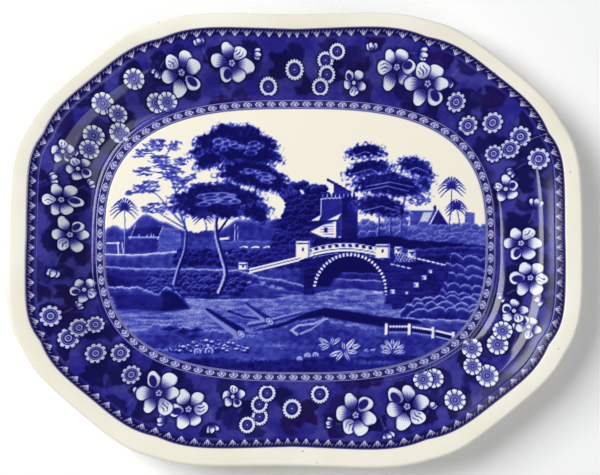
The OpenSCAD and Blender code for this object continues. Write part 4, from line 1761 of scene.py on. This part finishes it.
@dataclass
class SceneFilm:
    """The printed film on the floor of the well."""

    ware: Ware
    columns: int = 365
    rows: int = 252

    def build(self) -> bpy.types.Object:
        """Builds the film as a fine grid fitted to the floor's outline, over a plain underside."""
        ware = self.ware
        power = ware.well_squareness
        right, up = np.meshgrid(np.linspace(-1, 1, self.columns), np.linspace(-1, 1, self.rows))
        largest = np.maximum(np.abs(right), np.abs(up))
        round_size = np.maximum((np.abs(right) ** power + np.abs(up) ** power) ** (1 / power), 1e-9)
        fit = largest / round_size
        half = (ware.well_half_length - ware.bead_width, ware.well_half_width - ware.bead_width)
        plan = np.column_stack([(right * fit * half[0]).ravel(), (up * fit * half[1]).ravel()])
        numbers = np.arange(self.rows * self.columns).reshape(self.rows, self.columns)
        near, far = numbers[:-1], numbers[1:]
        faces = np.stack([near[:, :-1], near[:, 1:], far[:, 1:], far[:, :-1]], -1).reshape(-1, 4)
        edge = np.concatenate([numbers[0, :-1], numbers[:-1, -1], numbers[-1, :0:-1], numbers[:0:-1, 0]])
        below = len(plan) + np.arange(len(edge))
        wall = np.stack([below, np.roll(below, -1), np.roll(edge, -1), edge], -1)
        rings = Rings(plan, plan)
        rings.line(plan, 0.0, ware.glaze_thickness)
        rings.line(plan[edge], 0.0, ware.glaze_thickness - ware.film_thickness)
        return new_mesh("scene_print", rings, np.vstack([faces, wall]), [below[::-1].tolist()])


@dataclass
class Foot:
    """The ring that the platter stands on, swept round the base."""

    ware: Ware
    inset: float = 9 * MM
    width: float = 5 * MM
    taper: float = 0.8 * MM
    corner: float = 0.6 * MM
    steps: int = 360

    def tree(self) -> bpy.types.NodeTree:
        """Builds the tree that sweeps the foot's section along a closed line."""
        nodes, given = geometry_tree("Sweep Foot", {
            "Top Width": self.width, "Foot Width": self.width - self.taper, "Height": self.ware.foot_height,
            "Corner": self.corner})
        line = nodes.add("GeometryNodeMeshToCurve", None, {"Mesh": given["Geometry"]})
        upright = nodes.add("GeometryNodeSetCurveNormal", {"mode": "Z_UP"}, {"Curve": line.outputs[0]})
        section = nodes.add("GeometryNodeCurvePrimitiveQuadrilateral", {"mode": "TRAPEZOID"}, {
            "Bottom Width": given["Foot Width"], "Top Width": given["Top Width"], "Height": given["Height"],
            "Offset": 0.0})
        eased_corners = nodes.add("GeometryNodeFilletCurve", {"mode": "POLY"}, {
            "Curve": section.outputs[0], "Count": 5, "Radius": given["Corner"], "Limit Radius": True})
        swept = nodes.add("GeometryNodeCurveToMesh", None, {"Curve": upright.outputs[0],
                                                            "Profile Curve": eased_corners.outputs[0]})
        return close_tree(nodes, Value(nodes, swept.outputs[0]), given["Material"])

    def build(self, material: bpy.types.Material) -> bpy.types.Object:
        """Builds the foot ring in a material."""
        dense = self.ware.floor_line(full_turn(DENSE), self.inset + self.width / 2)
        path = evenly(dense, dense, self.steps)
        middle = np.full((self.steps, 1), self.ware.foot_height / 2)
        edges = [(step, (step + 1) % self.steps) for step in range(self.steps)]
        mesh = bpy.data.meshes.new("foot_ring")
        mesh.from_pydata(np.hstack([path, middle]).tolist(), edges, [])
        return grow(placed("foot_ring_ground", mesh), self.tree(), material)


@dataclass
class Studio:
    """The floor, the lights and the camera."""

    tilt: float = 3.8
    lean: float = 2.5
    roll: float = 0.3
    distance: float = 1.0
    seen_width: float = 0.4362
    aim: tuple[float, float, float] = (5.6 * MM, -0.1 * MM, 37.4 * MM)
    sensor_width: float = 36
    floor_half: float = 6.0
    room_light: float = 0.14
    key_power: float = 48
    fill_power: float = 18

    def stage(self) -> None:
        """Lays the plain pale floor."""
        half, mesh = self.floor_half, bpy.data.meshes.new("studio_floor")
        corners = [(-half, -half, 0), (half, -half, 0), (half, half, 0), (-half, half, 0)]
        mesh.from_pydata(corners, [], [(0, 1, 2, 3)])
        nodes, material = new_material("studio_white")
        nodes.surface({"Base Color": (0.92, 0.92, 0.92, 1), "Roughness": 0.9})
        mesh.materials.append(material)
        placed("studio_floor", mesh)

    def lamp(self, name: str, place: Vector, size: Pair, power: float) -> None:
        """Hangs a soft lamp that points at the platter.

        Args:
            name: The lamp's name.
            place: Where it hangs.
            size: Its width and height.
            power: Its power in watts.
        """
        light = bpy.data.lights.new(name, "AREA")
        light.shape = "RECTANGLE"
        light.size, light.size_y = size
        light.energy = power
        lamp = placed(name, light)
        lamp.location = place
        lamp.rotation_euler = (-place).to_track_quat("-Z", "Y").to_euler()

    def light(self) -> None:
        """Hangs the lamps and sets the room's fill."""
        world = bpy.data.worlds.new("studio_room")
        world.use_nodes = True
        room = world.node_tree.nodes["Background"].inputs
        room["Color"].default_value = (0.9, 0.95, 1.0, 1)
        room["Strength"].default_value = self.room_light
        bpy.context.scene.world = world
        self.lamp("key_lamp", Vector((-1.25, 0.6, 1.7)), (1.1, 1.4), self.key_power)
        self.lamp("fill_lamp", Vector((1.2, -0.9, 1.8)), (1.6, 1.6), self.fill_power)
        bpy.context.scene.view_settings.view_transform = "Standard"

    def shoot(self) -> None:
        """Sets the camera almost straight above the platter."""
        camera = bpy.data.cameras.new("camera")
        camera.sensor_width = self.sensor_width
        camera.lens = self.sensor_width * self.distance / self.seen_width
        eye = placed("camera", camera)
        away = Vector((math.tan(math.radians(self.lean)), -math.tan(math.radians(self.tilt)), 1)).normalized()
        eye.location = Vector(self.aim) + away * self.distance
        side = Vector((0, 1, 0)).cross(away).normalized()
        turn = Matrix((side, away.cross(side), away)).transposed().to_quaternion()
        eye.rotation_euler = (turn @ Quaternion((0, 0, 1), math.radians(self.roll))).to_euler()
        bpy.context.scene.camera = eye


@dataclass
class Platter:
    """The whole platter, built piece by piece on one section."""

    ware: Ware
    bead_repeats: int = 94
    edging_repeats: int = 122
    scene_shift: Pair = (1.4 * MM, -1.4 * MM)

    def build(self) -> None:
        """Builds and dresses every piece."""
        self.section = section_tree(self.ware)
        self.floor, self.rim, self.border_end, self.print_end = self.ware.lines()
        self.build_clay()
        self.build_foot()
        self.build_scene()
        self.build_beads()
        self.build_border()
        self.build_edging()

    def build_clay(self) -> None:
        """Builds the glazed body."""
        body = Clay(self.ware).build(self.floor, self.rim, self.print_end)
        grow(body, self.section, GlazedFinish("glazed_clay").make(clay_colour))
        present(body, "clay", ("earthenware_body", "face_glaze", "back_glaze", "base_glaze"))

    def build_foot(self) -> None:
        """Builds the foot ring."""
        present(Foot(self.ware).build(BareClay().make()), "foot", ("foot_ring",))

    def build_scene(self) -> None:
        """Builds the scene's film and draws the landscape on it."""
        piece = SceneFilm(self.ware).build()
        places = np.empty(len(piece.data.vertices) * 3, np.float32)
        piece.data.vertices.foreach_get("co", places)
        plan = places.reshape(-1, 3)[:, :2].astype(float) - np.array(self.scene_shift)
        film = Film(plan, {"ink": 0, "grain": 0})
        Landscape(film).draw()
        paint(piece.data, film.unsorted())
        grow(piece, self.section, GlazedFinish("scene_print").make(scene_colour))
        present(piece, "scene_print", ("scene_transfer",))

    def build_beads(self) -> None:
        """Builds the bead band's film."""
        plan = RingFilm(self.ware, rows=12, repeats=self.bead_repeats, bottom_rows=2)
        width = self.ware.bead_width
        dense = full_turn(DENSE)
        spread = evenly(np.column_stack([np.cos(dense), np.sin(dense)]), self.ware.floor_line(dense, 0),
                        self.ware.columns)
        turns = np.arctan2(spread[:, 1], spread[:, 0])

        def place(rings: Rings, part: float, lift: float) -> None:
            """Adds a ring at a part of the band's width."""
            rings.line(self.ware.floor_line(turns, width * (1 - part)), 0.0, lift)

        rings = plan.rings(self.floor, self.rim, place)
        faces = rings.faces(True, True)
        piece = new_mesh("bead_band", rings, faces, [])
        paint(piece.data, {"across": plan.across(self.ware.columns)})
        plan.mark(piece.data, faces, self.ware.columns)
        grow(piece, self.section, GlazedFinish("bead_print").make(bead_colour))
        present(piece, "band_print", ("bead_band_transfer",))

    def build_border(self) -> None:
        """Builds the two sheets of the flowered border."""
        plan = RingFilm(self.ware, rows=84)
        rings = plan.rings(self.floor, self.rim, lambda to, part, lift: to.ring(self.border_end * part, lift))
        film = Film(np.vstack(rings.plan), {"flower": -4, "shade": 1, "leaf": 0, "vein": 0})
        Border(self.ware, film, self.floor, self.rim, self.border_end).draw()
        self.halves("border_print", plan, rings, film.unsorted(),
                    GlazedFinish("border_print").make(border_colour), "border_print", "border_transfer")

    def build_edging(self) -> None:
        """Builds the two strips of the edging."""
        plan = RingFilm(self.ware, rows=8, repeats=self.edging_repeats, bottom_rows=2)
        gap = self.print_end - self.border_end
        rings = plan.rings(self.floor, self.rim, lambda to, part,
                           lift: to.ring(self.border_end + gap * part, lift))
        fields = {"across": plan.across(self.ware.columns)}
        self.halves("edging_print", plan, rings, fields, GlazedFinish("edging_print").make(edging_colour),
                    "band_print", "edging_transfer")

    def halves(self, name: str, plan: RingFilm, rings: Rings, fields: dict[str, Array],
               material: bpy.types.Material, slot: str, stands_for: str) -> None:
        """Cuts a film in two at opposite cusps, as it was laid.

        Args:
            name: The pieces' name, without its last letter.
            plan: The film's layout.
            rings: Its rings for the whole way round.
            fields: What is painted on them.
            material: Its finish.
            slot: Its material slot.
            stands_for: The name of the CAD nodes, without the last letter.
        """
        for number, letter in enumerate("ab"):
            part, columns = rings.half(number * self.ware.columns // 2)
            faces = part.faces(False, True)
            piece = new_mesh(f"{name}_{letter}", part, faces, end_caps(part))
            index = (np.arange(len(rings.share))[:, None] * self.ware.columns + columns[None]).ravel()
            paint(piece.data, {label: numbers[index] for label, numbers in fields.items()})
            if plan.repeats:
                plan.mark(piece.data, faces, len(columns))
            grow(piece, self.section, material)
            present(piece, slot, (f"{stands_for}_{letter}",))


def main() -> None:
    """Builds, dresses and lights the platter."""
    logging.basicConfig(level=logging.INFO, format="%(name)s %(message)s")
    Platter(Ware()).build()
    studio = Studio()
    studio.stage()
    studio.light()
    studio.shoot()


if __name__ == "__main__":
    main()
